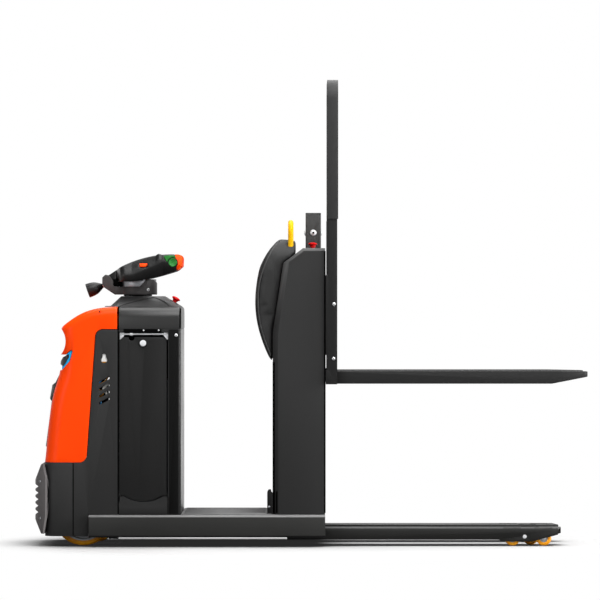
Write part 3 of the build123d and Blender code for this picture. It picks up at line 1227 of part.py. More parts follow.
def back_pad():
    front = Spline((MAST_BACK_X - 1, PAD_LOW_Z), (PAD_DEEP_X + 6, PAD_DEEP_Z - 90), (PAD_DEEP_X, PAD_DEEP_Z),
                   (PAD_DEEP_X + 8, PAD_DEEP_Z + 84), (PAD_FRONT_X, PAD_TOP_Z),
                   tangents=[(-0.45, 0.9), (0.8, 0.6)])
    slope = (MAST_TOP_Z - MAST_SHOULDER_Z) / (MAST_CREST_X - MAST_SHOULDER_X)
    back_z = MAST_SHOULDER_Z + (PAD_BACK_X - MAST_SHOULDER_X) * slope
    lines = [front, Line((PAD_FRONT_X, PAD_TOP_Z), (PAD_BACK_X, PAD_TOP_Z - 6)),
             Line((PAD_BACK_X, PAD_TOP_Z - 6), (PAD_BACK_X, back_z)),
             Line((PAD_BACK_X, back_z), (MAST_SHOULDER_X, MAST_SHOULDER_Z)),
             Line((MAST_SHOULDER_X, MAST_SHOULDER_Z), (MAST_BACK_X, MAST_KINK_Z)),
             Line((MAST_BACK_X, MAST_KINK_Z), (MAST_BACK_X, PAD_LOW_Z)),
             Line((MAST_BACK_X, PAD_LOW_Z), (MAST_BACK_X - 1, PAD_LOW_Z))]
    pad = side_slab(make_face(Curve() + lines), -PAD_HALF, PAD_HALF)
    low = PAD_LOW_Z - 1
    face = shape((-PAD_HALF, low), (PAD_HALF, low), (PAD_HALF, PAD_TOP_Z), (-PAD_HALF, PAD_TOP_Z))
    face = fillet([v for v in face.vertices() if v.Y > PAD_TOP_Z - 1], PAD_SHOULDER_R)
    face = fillet([v for v in face.vertices() if v.Y < PAD_LOW_Z], PAD_FOOT_R)
    pad = pad & extrude(Plane.YZ.offset(PAD_DEEP_X - 20) * face, amount=300)
    for s in (-1, 1):
        pad -= rod_z(HOOP_X, s * HOOP_HALF, HOOP_R + BODY_GAP, PAD_LOW_Z, PAD_TOP_Z + 1)
    return pad


def grab_handle():
    low = MAST_SHOULDER_Z - 20
    top = HOOP_TOP_Z - HOOP_R
    path = FilletPolyline((-HOOP_HALF, low), (-HOOP_HALF, top), (HOOP_HALF, top), (HOOP_HALF, low),
                          radius=HOOP_BEND_R)
    path = Plane.YZ.offset(HOOP_X) * path
    section = Plane(origin=path @ 0, z_dir=path % 0) * Circle(HOOP_R)
    hoop = sweep(section, path=path)
    return hoop - side_slab(mast_outline(0), -MAST_HALF, MAST_HALF)


def accessory_post():
    h = ACC_POST_W / 2
    post = block(ACC_POST_X - h, ACC_POST_X + h, -h, h, MAST_TOP_Z, ACC_POST_TOP_Z)
    post = fillet(post.edges().filter_by(Axis.Z), 7)
    i = h - ACC_POST_WALL
    post -= block(ACC_POST_X - i, ACC_POST_X + i, -i, i, MAST_TOP_Z + ACC_POST_WALL, ACC_POST_TOP_Z + 1)
    r = ACC_BOLT_R + RUN_FIT
    post -= rod_y(ACC_POST_X, ACC_BOLT_Z, r, -h - 1, h + 1)
    post -= rod_x(0, ACC_BOLT_Z, r, ACC_POST_X - h - 1, ACC_POST_X + h + 1)
    return post


def post_bolts():
    h = ACC_POST_W / 2
    t = ACC_POST_WALL
    head = ACC_BOLT_HEAD_T
    bolts = []
    for s in (-1, 1):
        a, b = sorted((s * h, s * (h + head)))
        c, d = sorted((s * (h - t), s * h))
        bolts.append(rod_y(ACC_POST_X, ACC_BOLT_Z, ACC_BOLT_HEAD_R, a, b)
                     + rod_y(ACC_POST_X, ACC_BOLT_Z, ACC_BOLT_R, c, d))
        bolts.append(rod_x(0, ACC_BOLT_Z, ACC_BOLT_HEAD_R, ACC_POST_X + a, ACC_POST_X + b)
                     + rod_x(0, ACC_BOLT_Z, ACC_BOLT_R, ACC_POST_X + c, ACC_POST_X + d))
    return bolts


def foot_bracket():
    x0 = BRACKET_X
    x1 = BRACKET_X + BRACKET_W
    side = shape((x0, DECK_Z), (x1, DECK_Z), (x1, BRACKET_STEP_Z), (x1 - BRACKET_TAPER, BRACKET_TOP_Z),
                 (x0 + BRACKET_TAPER, BRACKET_TOP_Z), (x0, BRACKET_STEP_Z))
    foot = block(x0, x1, BRACKET_Y, BRACKET_Y + BRACKET_FOOT, DECK_Z, DECK_Z + BRACKET_T)
    return side_slab(side, BRACKET_Y - BRACKET_T, BRACKET_Y) + foot


# Lift cylinder, sheave and chain

def cylinder_barrel():
    barrel = rod_z(CYL_X, 0, BARREL_R, FOOT_TOP_Z, BARREL_TOP_Z)
    barrel -= rod_z(CYL_X, 0, BARREL_BORE_R, FOOT_TOP_Z + BARREL_BASE_T, BARREL_TOP_Z - GLAND_T)
    barrel -= rod_z(CYL_X, 0, ROD_R + RUN_FIT, BARREL_TOP_Z - GLAND_T - 1, BARREL_TOP_Z + 1)
    return barrel


def cylinder_rod():
    rod = rod_z(CYL_X, 0, BARREL_BORE_R - RUN_FIT, PISTON_Z, PISTON_Z + PISTON_H)
    rod += rod_z(CYL_X, 0, ROD_R, PISTON_Z + PISTON_H, ROD_END_Z)
    out = SHEAVE_W / 2 + 1 + CHEEK_T
    x0 = CYL_X - CROSSHEAD_HALF
    x1 = CYL_X + CROSSHEAD_HALF
    rod += block(x0, x1, -out, out, ROD_END_Z, ROD_END_Z + CROSSHEAD_H)
    for s in (-1, 1):
        a, b = sorted((s * (SHEAVE_W / 2 + 1), s * out))
        rod += block(x0, x1, a, b, ROD_END_Z + CROSSHEAD_H, SHEAVE_Z + 2 * SHEAVE_PIN_R)
    rod += rod_y(CYL_X, SHEAVE_Z, SHEAVE_PIN_R, -out, out)
    return rod


def chain_sheave():
    h = SHEAVE_W / 2
    disc = rod_y(CYL_X, SHEAVE_Z, SHEAVE_RIM_R, -h, h)
    groove = h - SHEAVE_RIM_T
    ring = rod_y(CYL_X, SHEAVE_Z, SHEAVE_RIM_R + 1, -groove, groove)
    ring -= rod_y(CYL_X, SHEAVE_Z, SHEAVE_ROOT_R, -groove, groove)
    return disc - ring - rod_y(CYL_X, SHEAVE_Z, SHEAVE_PIN_R + RUN_FIT, -h - 1, h + 1)


def chain_run(side, end_z):
    # side +1 is the run to the carriage, with the wrap over the sheave
    w = CHAIN_W / 2
    x0, x1 = sorted((CYL_X + side * CHAIN_R, CYL_X + side * (CHAIN_R + CHAIN_T)))
    run = block(x0, x1, -w, w, end_z, SHEAVE_Z)
    if side > 0:
        wrap = rod_y(CYL_X, SHEAVE_Z, CHAIN_R + CHAIN_T, -w, w)
        wrap -= rod_y(CYL_X, SHEAVE_Z, CHAIN_R, -w - 1, w + 1)
        run += wrap & block(CYL_X - 100, CYL_X + 100, -w, w, SHEAVE_Z, SHEAVE_Z + 100)
    return run


# Carriage, backrest and forks

def carriage_frame():
    edge = UPRIGHT_Y + UPRIGHT_W
    body = block(PLATE_X, UPRIGHT_X, -edge, edge, CARRIAGE_LOW_Z, CARRIAGE_TOP_Z)
    top = SLEEVE_LOW_Z + SLEEVE_LAP
    wall = UPRIGHT_WALL
    for s in (-1, 1):
        a, b = sorted((s * UPRIGHT_Y, s * edge))
        tube = block(UPRIGHT_X, FORK_FACE_X, a, b, UPRIGHT_LOW_Z, top)
        tube -= block(UPRIGHT_X + wall, FORK_FACE_X - wall, a + wall, b - wall, UPRIGHT_LOW_Z + wall, top + 1)
        body += tube
        body += block(PLATE_X, UPRIGHT_X, a, b, UPRIGHT_LOW_Z, UPRIGHT_FOOT_TOP_Z)
        a, b = sorted((s * ROLLER_PLATE_Y, s * (ROLLER_PLATE_Y + ROLLER_PLATE_T)))
        body += block(ROLLER_X - 30, PLATE_X, a, b, ROLLER_PLATE_LOW_Z, CARRIAGE_TOP_Z - 8)
        y0 = ROLLER_PLATE_Y + ROLLER_PLATE_T
        for z in (ROLLER_LOW_Z, ROLLER_HIGH_Z):
            a, b = sorted((s * y0, s * (y0 + 4 + ROLLER_W)))
            body += rod_y(ROLLER_X, z, ROLLER_PIN_R, a, b)
    # lug that holds the chain end
    x0 = CYL_X + CHAIN_R - 2
    body += block(x0, PLATE_X, -CHAIN_W / 2 - 8, CHAIN_W / 2 + 8, CARRIAGE_LOW_Z + 4, CHAIN_FRONT_END_Z)
    return body


def rollers(z):
    y0 = ROLLER_PLATE_Y + ROLLER_PLATE_T + 4
    out = []
    for s in (-1, 1):
        a, b = sorted((s * y0, s * (y0 + ROLLER_W)))
        ring = rod_y(ROLLER_X, z, ROLLER_R, a, b) - rod_y(ROLLER_X, z, ROLLER_PIN_R + RUN_FIT, a - 1, b + 1)
        out.append(ring)
    return out


def backrest_frame():
    d = UPRIGHT_D + 2 * (SLEEVE_WALL + BODY_GAP)
    w = UPRIGHT_W + 2 * (SLEEVE_WALL + BODY_GAP)
    x = UPRIGHT_X + UPRIGHT_D / 2
    y = UPRIGHT_Y + UPRIGHT_W / 2
    top = BACKREST_TOP_Z - w / 2
    path = FilletPolyline((-y, SLEEVE_LOW_Z), (-y, top), (y, top), (y, SLEEVE_LOW_Z), radius=BACKREST_BEND_R)
    path = Plane.YZ.offset(x) * path
    ring = Rectangle(d, w) - Rectangle(d - 2 * SLEEVE_WALL, w - 2 * SLEEVE_WALL)
    section = Plane(origin=path @ 0, x_dir=(1, 0, 0), z_dir=path % 0) * ring
    frame = sweep(section, path=path)
    inner = y - w / 2
    frame += block(x - TIE_D / 2, x + TIE_D / 2, -inner, inner, TIE_Z, TIE_Z + TIE_H)
    pitch = 2 * inner / (BAR_COUNT + 1)
    for i in range(BAR_COUNT):
        frame += rod_z(x, -inner + pitch * (i + 1), BAR_R, TIE_Z + TIE_H, BACKREST_TOP_Z - w)
    return frame


def fork_right():
    half = FORK_W / 2
    low = FORK_TOP_Z - FORK_H
    side = shape((FORK_FACE_X, low), (FORK_TAPER_X, low), (FORK_TIP_X, FORK_TIP_LOW_Z),
                 (FORK_TIP_X, FORK_TOP_Z - 3), (FORK_TAPER_X, FORK_TOP_Z), (FORK_FACE_X, FORK_TOP_Z))
    bar = side_slab(side, FORK_Y - half, FORK_Y + half)

    def plan(inset, end):
        face = shape((FORK_FACE_X - 1, FORK_Y - half + inset), (FORK_NARROW_X, FORK_Y - half + inset),
                     (end, FORK_Y - FORK_TIP_HALF + inset), (end, FORK_Y + FORK_TIP_HALF - inset),
                     (FORK_NARROW_X, FORK_Y + half - inset), (FORK_FACE_X - 1, FORK_Y + half - inset))
        return face

    outer = plan(0, FORK_TIP_X)
    outer = fillet([v for v in outer.vertices() if v.X > FORK_TIP_X - 1], FORK_TIP_R)
    bar = bar & plan_slab(outer, low - 1, FORK_TOP_Z + 1)
    bar -= plan_slab(plan(FORK_WALL, FORK_TIP_X - FORK_TIP_SOLID), low - 1, FORK_TOP_Z - FORK_TOP_T)
    under = FORK_TOP_Z - FORK_TOP_T
    bar += block(UPRIGHT_X, UPRIGHT_X + SHANK_T, FORK_Y - half, FORK_Y + half, under, SHANK_TOP_Z)
    bar += block(UPRIGHT_X, FORK_FACE_X, FORK_Y - half, FORK_Y + half, under, FORK_TOP_Z)
    for o in (-half, -SHANK_RIB_T / 2, half - SHANK_RIB_T):
        y = FORK_Y + o
        bar += block(UPRIGHT_X + SHANK_T, FORK_FACE_X, y, y + SHANK_RIB_T, FORK_TOP_Z, SHANK_TOP_Z)
    return bar


os.makedirs("parts", exist_ok=True)

save("chassis_frame", chassis_frame())
save("platform_mat", platform_mat())
leg = leg_right()
save("leg_right", leg)
save("leg_left", far(leg))
bogie = bogie_right()
save("bogie_right", bogie)
save("bogie_left", far(bogie))
OUTER_Y0 = FORK_Y + BOGIE_O + BOGIE_T + WHEEL_SIDE_GAP
INNER_Y1 = FORK_Y + BOGIE_O - WHEEL_SIDE_GAP - WEB_T - WHEEL_SIDE_GAP
for spot, x, y0 in (("rear", LOAD_REAR_X, OUTER_Y0), ("front", LOAD_FRONT_X, OUTER_Y0),
                    ("inner", LOAD_INNER_X, INNER_Y1 - LOAD_WHEEL_W)):
    hub, tyre = load_wheel(x, y0, y0 + LOAD_WHEEL_W)
    save(f"load_wheel_right_{spot}", hub, tyre)
    save(f"load_wheel_left_{spot}", far(hub), far(tyre))

save("front_skirt", front_skirt())
save("front_bumper", front_bumper())
save("front_hood", front_hood())
save("accent_trim", accent_trim())
save("front_insert", *front_insert())
panel = side_panel()
save("side_panel_left", panel)
save("side_panel_right", far(panel))

save("drive_gearbox", drive_gearbox())
save("drive_motor", drive_motor())
save("drive_wheel", *drive_wheel())
save("castor_fork", castor_fork())
save("castor_wheel", *castor_wheel())
save("pump_unit", pump_unit())

save("battery_frame", battery_frame())
save("battery_door", battery_door())
save("door_latch", door_latch())
save("door_rod", door_rod())
save("battery_pack", battery_pack())
save("console", console())
save("console_stop", console_stop_place() * stop_button(CONSOLE_STOP_NECK))
save("mast_stop", Pos(MAST_STOP_X, MAST_STOP_Y, MAST_TOP_Z) * stop_button(MAST_STOP_NECK))

save("steering_head", steering_head())
save("steering_drum", steering_drum())
save("steering_handle", *steering_handle())
save("grip_caps", *grip_caps())
thumb = thumb_control()
save("thumb_control_left", thumb)
save("thumb_control_right", far(thumb))
button = grip_button()
save("grip_button_left", button)
save("grip_button_right", far(button))
save("clamp_knob", clamp_knob())

save("mast_channels", mast_channels())
save("mast_cover", mast_cover())
save("back_pad", back_pad())
save("grab_handle", grab_handle())
save("accessory_post", accessory_post())
save("post_bolts", *post_bolts())
save("foot_bracket", foot_bracket())

save("cylinder_barrel", cylinder_barrel())
save("cylinder_rod", cylinder_rod())
save("chain_sheave", chain_sheave())
save("chain_front_run", chain_run(1, CHAIN_FRONT_END_Z))
save("chain_back_run", chain_run(-1, MAST_TIE_LOW_Z + MAST_TIE_H))
save("carriage_frame", carriage_frame())
save("rollers_low", *rollers(ROLLER_LOW_Z))
save("rollers_high", *rollers(ROLLER_HIGH_Z))
save("backrest_frame", backrest_frame())
fork = fork_right()
save("fork_right", fork)
save("fork_left", far(fork))
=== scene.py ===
from math import cos, pi, radians, sin, sqrt

import bmesh
import bpy
from mathutils import Matrix, Vector


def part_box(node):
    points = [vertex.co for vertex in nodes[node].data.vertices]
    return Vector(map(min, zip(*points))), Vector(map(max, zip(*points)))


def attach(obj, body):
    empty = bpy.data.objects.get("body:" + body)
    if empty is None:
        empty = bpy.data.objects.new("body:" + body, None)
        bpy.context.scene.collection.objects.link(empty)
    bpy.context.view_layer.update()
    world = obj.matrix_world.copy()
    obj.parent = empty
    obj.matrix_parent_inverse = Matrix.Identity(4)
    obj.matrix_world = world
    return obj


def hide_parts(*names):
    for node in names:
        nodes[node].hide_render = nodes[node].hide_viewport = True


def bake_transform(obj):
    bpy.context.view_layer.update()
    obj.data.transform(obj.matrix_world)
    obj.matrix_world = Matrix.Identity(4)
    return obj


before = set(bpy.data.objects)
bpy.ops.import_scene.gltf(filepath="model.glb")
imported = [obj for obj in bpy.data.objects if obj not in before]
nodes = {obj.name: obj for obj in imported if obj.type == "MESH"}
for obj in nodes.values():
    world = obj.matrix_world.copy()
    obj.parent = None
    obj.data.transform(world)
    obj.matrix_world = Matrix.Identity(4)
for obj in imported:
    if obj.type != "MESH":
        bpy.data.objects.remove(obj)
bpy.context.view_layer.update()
MM = 0.001


def linear(code):
    # an sRGB hex colour as linear values
    parts = [int(code[i:i + 2], 16) / 255 for i in (1, 3, 5)]
    return tuple(p / 12.92 if p <= 0.04045 else ((p + 0.055) / 1.055) ** 2.4 for p in parts) + (1.0,)


def add(tree, kind, links=None, values=None, **settings):
    # one node, with its settings, socket values and links
    made = tree.nodes.new(kind)
    for name, value in settings.items():
        setattr(made, name, value)
    for socket, value in (values or {}).items():
        made.inputs[socket].default_value = value
    for socket, source in (links or {}).items():
        tree.links.new(source, made.inputs[socket])
    return made


def linked(name, data):
    # a new object in the scene
    obj = bpy.data.objects.new(name, data)
    bpy.context.scene.collection.objects.link(obj)
    return obj


# Camera: level, far off and square to the near side

CAMERA_PLACE = (-0.054, -23.39, 1.137)
LENS_MM = 300
SENSOR_MM = 36


def picture_camera():
    data = bpy.data.cameras.new("picture_camera")
    data.lens = LENS_MM
    data.sensor_width = SENSOR_MM
    data.clip_end = 200
    camera = linked("picture_camera", data)
    camera.location = CAMERA_PLACE
    camera.rotation_euler = (radians(90), 0, 0)
    bpy.context.scene.camera = camera


picture_camera()


# Materials

# cloudy noise lies mostly between these values
CLOUD_LOW, CLOUD_HIGH = 0.3, 0.7


def pattern_scale(size_mm):
    # the texture scale at which a pattern's marks are size_mm across
    return 1000 / size_mm


def new_material(name):
    material = bpy.data.materials.new(name)
    material.use_nodes = True
    tree = material.node_tree
    shader = tree.nodes["Principled BSDF"]
    place = add(tree, "ShaderNodeTexCoord")
    return material, tree, shader, place.outputs["Object"]


def set_ramp(ramp, *marks):
    for element, (position, colour) in zip(ramp.color_ramp.elements, marks):
        element.position = position
        element.color = colour


def tint(tree, shader, place, colour, drift, patch_mm):
    # slow drift between two close shades, as paint and mouldings have
    cloud = add(tree, "ShaderNodeTexNoise", {"Vector": place},
                {"Scale": pattern_scale(patch_mm), "Detail": 3.0})
    dark = tuple(c * (1 - drift) for c in linear(colour)[:3]) + (1.0,)
    light = tuple(min(1.0, c * (1 + drift)) for c in linear(colour)[:3]) + (1.0,)
    ramp = add(tree, "ShaderNodeValToRGB", {"Fac": cloud.outputs["Fac"]})
    set_ramp(ramp, (CLOUD_LOW, dark), (CLOUD_HIGH, light))
    tree.links.new(ramp.outputs["Color"], shader.inputs["Base Color"])
    return cloud


def sheen_range(tree, shader, cloud, low, high):
    spread = add(tree, "ShaderNodeMapRange", {"Value": cloud.outputs["Fac"]},
                 {"From Min": CLOUD_LOW, "From Max": CLOUD_HIGH, "To Min": low, "To Max": high})
    tree.links.new(spread.outputs["Result"], shader.inputs["Roughness"])


def relief(tree, shader, height, depth_mm, strength):
    bump = add(tree, "ShaderNodeBump", {"Height": height}, {"Distance": depth_mm * MM, "Strength": strength})
    tree.links.new(bump.outputs["Normal"], shader.inputs["Normal"])


def powder_coat(name, colour, rough=0.5, gloss=0.14):
    # powder coat on steel, sprayed and baked: matt, with an orange-peel skin of about 1.5 mm
    material, tree, shader, place = new_material(name)
    cloud = tint(tree, shader, place, colour, 0.04, 260)
    sheen_range(tree, shader, cloud, rough - 0.05, rough + 0.07)
    # drawn at 2.5 mm so that the skin shows in a close view
    peel = add(tree, "ShaderNodeTexNoise", {"Vector": place}, {"Scale": pattern_scale(2.5), "Detail": 2.0})
    relief(tree, shader, peel.outputs["Fac"], 0.25, 0.35)
    shader.inputs["Specular IOR Level"].default_value = gloss
    return material


def moulding(name, colour, rough=0.5, grain_mm=1.2, gloss=0.16, depth_mm=0.12):
    # injection-moulded ABS with a spark-eroded grain, even in colour;
    # the grain is drawn 1.6 times as coarse so that it shows
    material, tree, shader, place = new_material(name)
    cloud = tint(tree, shader, place, colour, 0.03, 400)
    sheen_range(tree, shader, cloud, rough - 0.04, rough + 0.05)
    grain = add(tree, "ShaderNodeTexVoronoi", {"Vector": place}, {"Scale": pattern_scale(grain_mm * 1.6)})
    relief(tree, shader, grain.outputs["Distance"], depth_mm, 0.3)
    shader.inputs["Specular IOR Level"].default_value = gloss
    return material


def metal(name, colour, rough, streak_mm=None, bare=1.0):
    # bare metal, or plate with a milky passivated skin where bare is below 1;
    # streak_mm is the pitch of turning or brushing marks along Z
    material, tree, shader, place = new_material(name)
    cloud = tint(tree, shader, place, colour, 0.06, 60)
    sheen_range(tree, shader, cloud, rough - 0.06, rough + 0.08)
    shader.inputs["Metallic"].default_value = bare
    if streak_mm:
        length = 60.0
        stretch = add(tree, "ShaderNodeMapping", {"Vector": place}, {"Scale": (1.0, 1.0, length)})
        marks = add(tree, "ShaderNodeTexNoise", {"Vector": stretch.outputs["Vector"]},
                    {"Scale": pattern_scale(length * streak_mm), "Detail": 4.0})
        relief(tree, shader, marks.outputs["Fac"], 0.1, 0.35)
    else:
        pits = add(tree, "ShaderNodeTexNoise", {"Vector": place}, {"Scale": pattern_scale(2.0), "Detail": 2.0})
        relief(tree, shader, pits.outputs["Fac"], 0.05, 0.25)
    return material


def casting(name, colour):
    # sand-cast aluminium, painted: a soft pebbled skin of about 3 mm
    material, tree, shader, place = new_material(name)
    cloud = tint(tree, shader, place, colour, 0.1, 80)
    sheen_range(tree, shader, cloud, 0.42, 0.55)
    pebble = add(tree, "ShaderNodeTexNoise", {"Vector": place},
                 {"Scale": pattern_scale(3.0), "Detail": 4.0, "Roughness": 0.6})
    relief(tree, shader, pebble.outputs["Fac"], 0.4, 0.4)
    shader.inputs["Specular IOR Level"].default_value = 0.2
    return material


def polyurethane(name, colour):
    # cast polyurethane: waxy and a little see-through, faintly mottled
    material, tree, shader, place = new_material(name)
    cloud = tint(tree, shader, place, colour, 0.16, 22)
    sheen_range(tree, shader, cloud, 0.34, 0.5)
    shader.inputs["Subsurface Weight"].default_value = 0.15
    shader.inputs["Subsurface Radius"].default_value = (0.004, 0.002, 0.0006)
    scuff = add(tree, "ShaderNodeTexNoise", {"Vector": place}, {"Scale": pattern_scale(4.0), "Detail": 5.0})
    relief(tree, shader, scuff.outputs["Fac"], 0.2, 0.25)
    return material


def skin_foam(name, colour):
    # integral-skin foam: leather-like pores of about 2.5 mm under a dull vinyl sheen,
    # drawn at 3.5 mm so that they show
    material, tree, shader, place = new_material(name)
    cloud = tint(tree, shader, place, colour, 0.1, 150)
    sheen_range(tree, shader, cloud, 0.5, 0.62)
    pores = add(tree, "ShaderNodeTexVoronoi", {"Vector": place}, {"Scale": pattern_scale(3.5)},
                feature="DISTANCE_TO_EDGE")
    ridge = add(tree, "ShaderNodeMapRange", {"Value": pores.outputs["Distance"]}, {"From Max": 0.12})
    relief(tree, shader, ridge.outputs["Result"], 0.25, 0.3)
    shader.inputs["Specular IOR Level"].default_value = 0.4
    return material


def rubber(name, colour):
    # moulded rubber: dull, dusty in patches
    material, tree, shader, place = new_material(name)
    cloud = tint(tree, shader, place, colour, 0.18, 45)
    sheen_range(tree, shader, cloud, 0.72, 0.9)
    grit = add(tree, "ShaderNodeTexNoise", {"Vector": place}, {"Scale": pattern_scale(1.8), "Detail": 3.0})
    relief(tree, shader, grit.outputs["Fac"], 0.2, 0.4)
    shader.inputs["Specular IOR Level"].default_value = 0.25
    return material


def painted_top_highlight_and_foot_shade(material, top_highlight, shaded_foot_mm=None):
    # painted highlight: up-facing faces made paler, as if lit from above; below the given foot height, painted
    # shade turns the colour black, within 2 mm
    tree = material.node_tree
    shader = tree.nodes["Principled BSDF"]
    colour = shader.inputs["Base Color"].links[0].from_socket
    place = add(tree, "ShaderNodeNewGeometry")
    up = add(tree, "ShaderNodeSeparateXYZ", {0: place.outputs["Normal"]})
    lit_top = add(tree, "ShaderNodeMapRange", {"Value": up.outputs["Z"]}, {"From Min": 0.1, "From Max": 0.4})
    pale = add(tree, "ShaderNodeMix", {"Factor": lit_top.outputs["Result"], "A": colour}, {"B": linear(top_highlight)},
               data_type="RGBA")
    done = pale.outputs["Result"]
    if shaded_foot_mm:
        height = add(tree, "ShaderNodeSeparateXYZ", {0: place.outputs["Position"]})
        low = add(tree, "ShaderNodeMapRange", {"Value": height.outputs["Z"]},
                  {"From Min": shaded_foot_mm * MM, "From Max": (shaded_foot_mm - 2) * MM})
        foot_shade = add(tree, "ShaderNodeMix", {"Factor": low.outputs["Result"], "A": done},
                     {"B": linear("#080808")}, data_type="RGBA")
        done = foot_shade.outputs["Result"]
    tree.links.new(done, shader.inputs["Base Color"])
    return material


frame_paint = powder_coat("box_powder_coat", "#262626", 0.26)
backrest_paint = powder_coat("backrest_powder_coat", "#2f2f2f")
upright_paint = powder_coat("upright_powder_coat", "#1c1c1c", 0.5, 0.12)
# rail and legs: painted highlight on their up-facing faces; the rail also has painted shade along its foot
rail_paint = painted_top_highlight_and_foot_shade(powder_coat("rail_powder_coat", "#292928", 0.42, 0.2), "#707070", 54)
leg_paint = painted_top_highlight_and_foot_shade(powder_coat("leg_powder_coat", "#1b1b1a", 0.4, 0.22), "#3c3c3c")
fork_paint = powder_coat("fork_powder_coat", "#242424")
post_paint = powder_coat("post_powder_coat", "#424242")
door_paint = powder_coat("door_powder_coat", "#1e1e1e", 0.55, 0.1)
dark_paint = powder_coat("black_powder_coat", "#121212", 0.5, 0.12)
yellow_paint = powder_coat("yellow_powder_coat", "#dca600", 0.4, 0.1)
# painted highlight on the mast cover's up-facing faces
mast_abs = painted_top_highlight_and_foot_shade(moulding("mast_cover_moulding", "#282828", 0.42, 1.2, 0.2), "#484848")
panel_abs = moulding("panel_moulding", "#272727", 0.55)
console_abs = moulding("console_moulding", "#181818", 0.36, 1.4, 0.42)
skirt_abs = moulding("skirt_moulding", "#272727", 0.5)
bumper_abs = moulding("bumper_moulding", "#585555", 0.5, 1.8)
orange_abs = moulding("orange_hood_moulding", "#f84306", 0.32, 1.0, 0.07, 0.03)
cap_abs = moulding("orange_grip_moulding", "#fb480b", 0.4, 1.0, 0.06, 0.05)
blue_abs = moulding("blue_trim_moulding", "#14a0de", 0.36, 1.0, 0.2, 0.05)
lens_black = moulding("smoked_lens", "#0d0e0f", 0.2, 1.0, 0.4, 0.0)
grip_black = moulding("soft_grip_moulding", "#101010", 0.36, 1.1, 0.3)
green_abs = moulding("green_control_moulding", "#25722c", 0.4, 1.0, 0.2, 0.05)
red_abs = moulding("red_button_moulding", "#b40404", 0.4, 1.0, 0.08, 0.02)
knob_black = moulding("knob_moulding", "#131313", 0.42, 1.2, 0.25)
white_abs = moulding("white_boss_moulding", "#e8e8e6", 0.4)
battery_pp = moulding("battery_case_moulding", "#26282b", 0.5, 1.6)
zinc = metal("bright_zinc_plate", "#d6d7d9", 0.34, None, 0.55)
steel = metal("bare_steel", "#9b9ca0", 0.36)
drum_alloy = metal("turned_aluminium", "#7c7d80", 0.34, 1.2, 0.75)
chain_steel = metal("oiled_chain_steel", "#5e5d5b", 0.38)
chrome = metal("hard_chrome", "#e4e6ea", 0.08)
hub_alloy = metal("wheel_hub_alloy", "#a0a2a5", 0.45, None, 0.6)
head_cast = casting("painted_casting", "#3c3a3a")
drive_cast = casting("drive_casting", "#2b2c2e")
amber_pu = polyurethane("amber_polyurethane", "#fba20a")
pad_foam = skin_foam("pad_skin_foam", "#121212")
mat_rubber = rubber("ribbed_mat_rubber", "#646464")
seal_black = rubber("seal_rubber", "#080808")
# near-black with no sheen: real dark joints, and painted shade on the console's and mast's corners
gap_and_shade_black = moulding("gap_and_painted_shade_black", "#040404", 0.7, 1.2, 0.02)
# pale grey for the bumper's rear edges: a painted highlight
bumper_highlight_abs = moulding("bumper_painted_highlight", "#7c7878", 0.45, 1.8)
post_black = moulding("black_post_cover", "#0c0c0c", 0.5, 1.2, 0.06)
lock_brass = metal("lock_brass", "#a8742e", 0.35)

DRESS = {
    "chassis_frame": (rail_paint, 1.5), "platform_mat": (mat_rubber, 1.0),
    "leg_left": (leg_paint, 2.5), "leg_right": (leg_paint, 2.5),
    "bogie_left": (zinc, 1.0), "bogie_right": (zinc, 1.0),
    "front_skirt": (skirt_abs, 1.2), "front_bumper": (bumper_abs, 3.0), "front_hood": (orange_abs, 1.2),
    "accent_trim": (blue_abs, 1.5), "front_insert": (lens_black, 2.0),
    "side_panel_left": (panel_abs, 1.0), "side_panel_right": (panel_abs, 1.0),
    "drive_gearbox": (drive_cast, 2.0), "drive_motor": (dark_paint, 2.0), "castor_fork": (dark_paint, 1.5),
    "pump_unit": (dark_paint, 2.0),
    "battery_frame": (frame_paint, 1.2), "battery_door": (door_paint, 1.2), "door_latch": (zinc, 1.5),
    "door_rod": (zinc, 0.6), "battery_pack": (battery_pp, 3.0), "console": (console_abs, 2.5),
    "steering_head": (head_cast, 3.0), "steering_drum": (drum_alloy, 1.5),
    "clamp_knob": (knob_black, 1.5),
    "mast_channels": (dark_paint, 2.0), "mast_cover": (mast_abs, 2.0), "grab_handle": (yellow_paint, 0.0),
    "accessory_post": (post_paint, 1.0), "post_bolts": (zinc, 1.5),
    "cylinder_barrel": (dark_paint, 1.5), "cylinder_rod": (chrome, 1.0), "chain_sheave": (steel, 1.0),
    "carriage_frame": (upright_paint, 1.5), "rollers_low": (steel, 2.0), "rollers_high": (steel, 2.0),
    "backrest_frame": (backrest_paint, 2.0), "fork_left": (fork_paint, 2.0), "fork_right": (fork_paint, 2.0),
}


# Geometry node trees

def geometry_tree(name, *inputs):
    # a tree from geometry to geometry, its start, and the identifiers of its further inputs
    tree = bpy.data.node_groups.new(name, "GeometryNodeTree")
    sockets = tree.interface
    sockets.new_socket("Geometry", in_out="INPUT", socket_type="NodeSocketGeometry")
    sockets.new_socket("Geometry", in_out="OUTPUT", socket_type="NodeSocketGeometry")
    idents = [sockets.new_socket(label, in_out="INPUT", socket_type=f"NodeSocket{kind}").identifier
              for label, kind in inputs]
    return tree, add(tree, "NodeGroupInput"), idents


def grow(obj, label, tree, idents=(), values=()):
    # the tree as a modifier of the object, with its inputs set
    made = obj.modifiers.new(label, "NODES")
    made.node_group = tree
    for ident, value in zip(idents, values):
        made[ident] = value


# Finishing of carried-over CAD nodes: welded, edges eased, shaded by angle

SMOOTH_ANGLE = radians(32)
EDGE_ANGLE = radians(34)
WELD_M = 1e-5


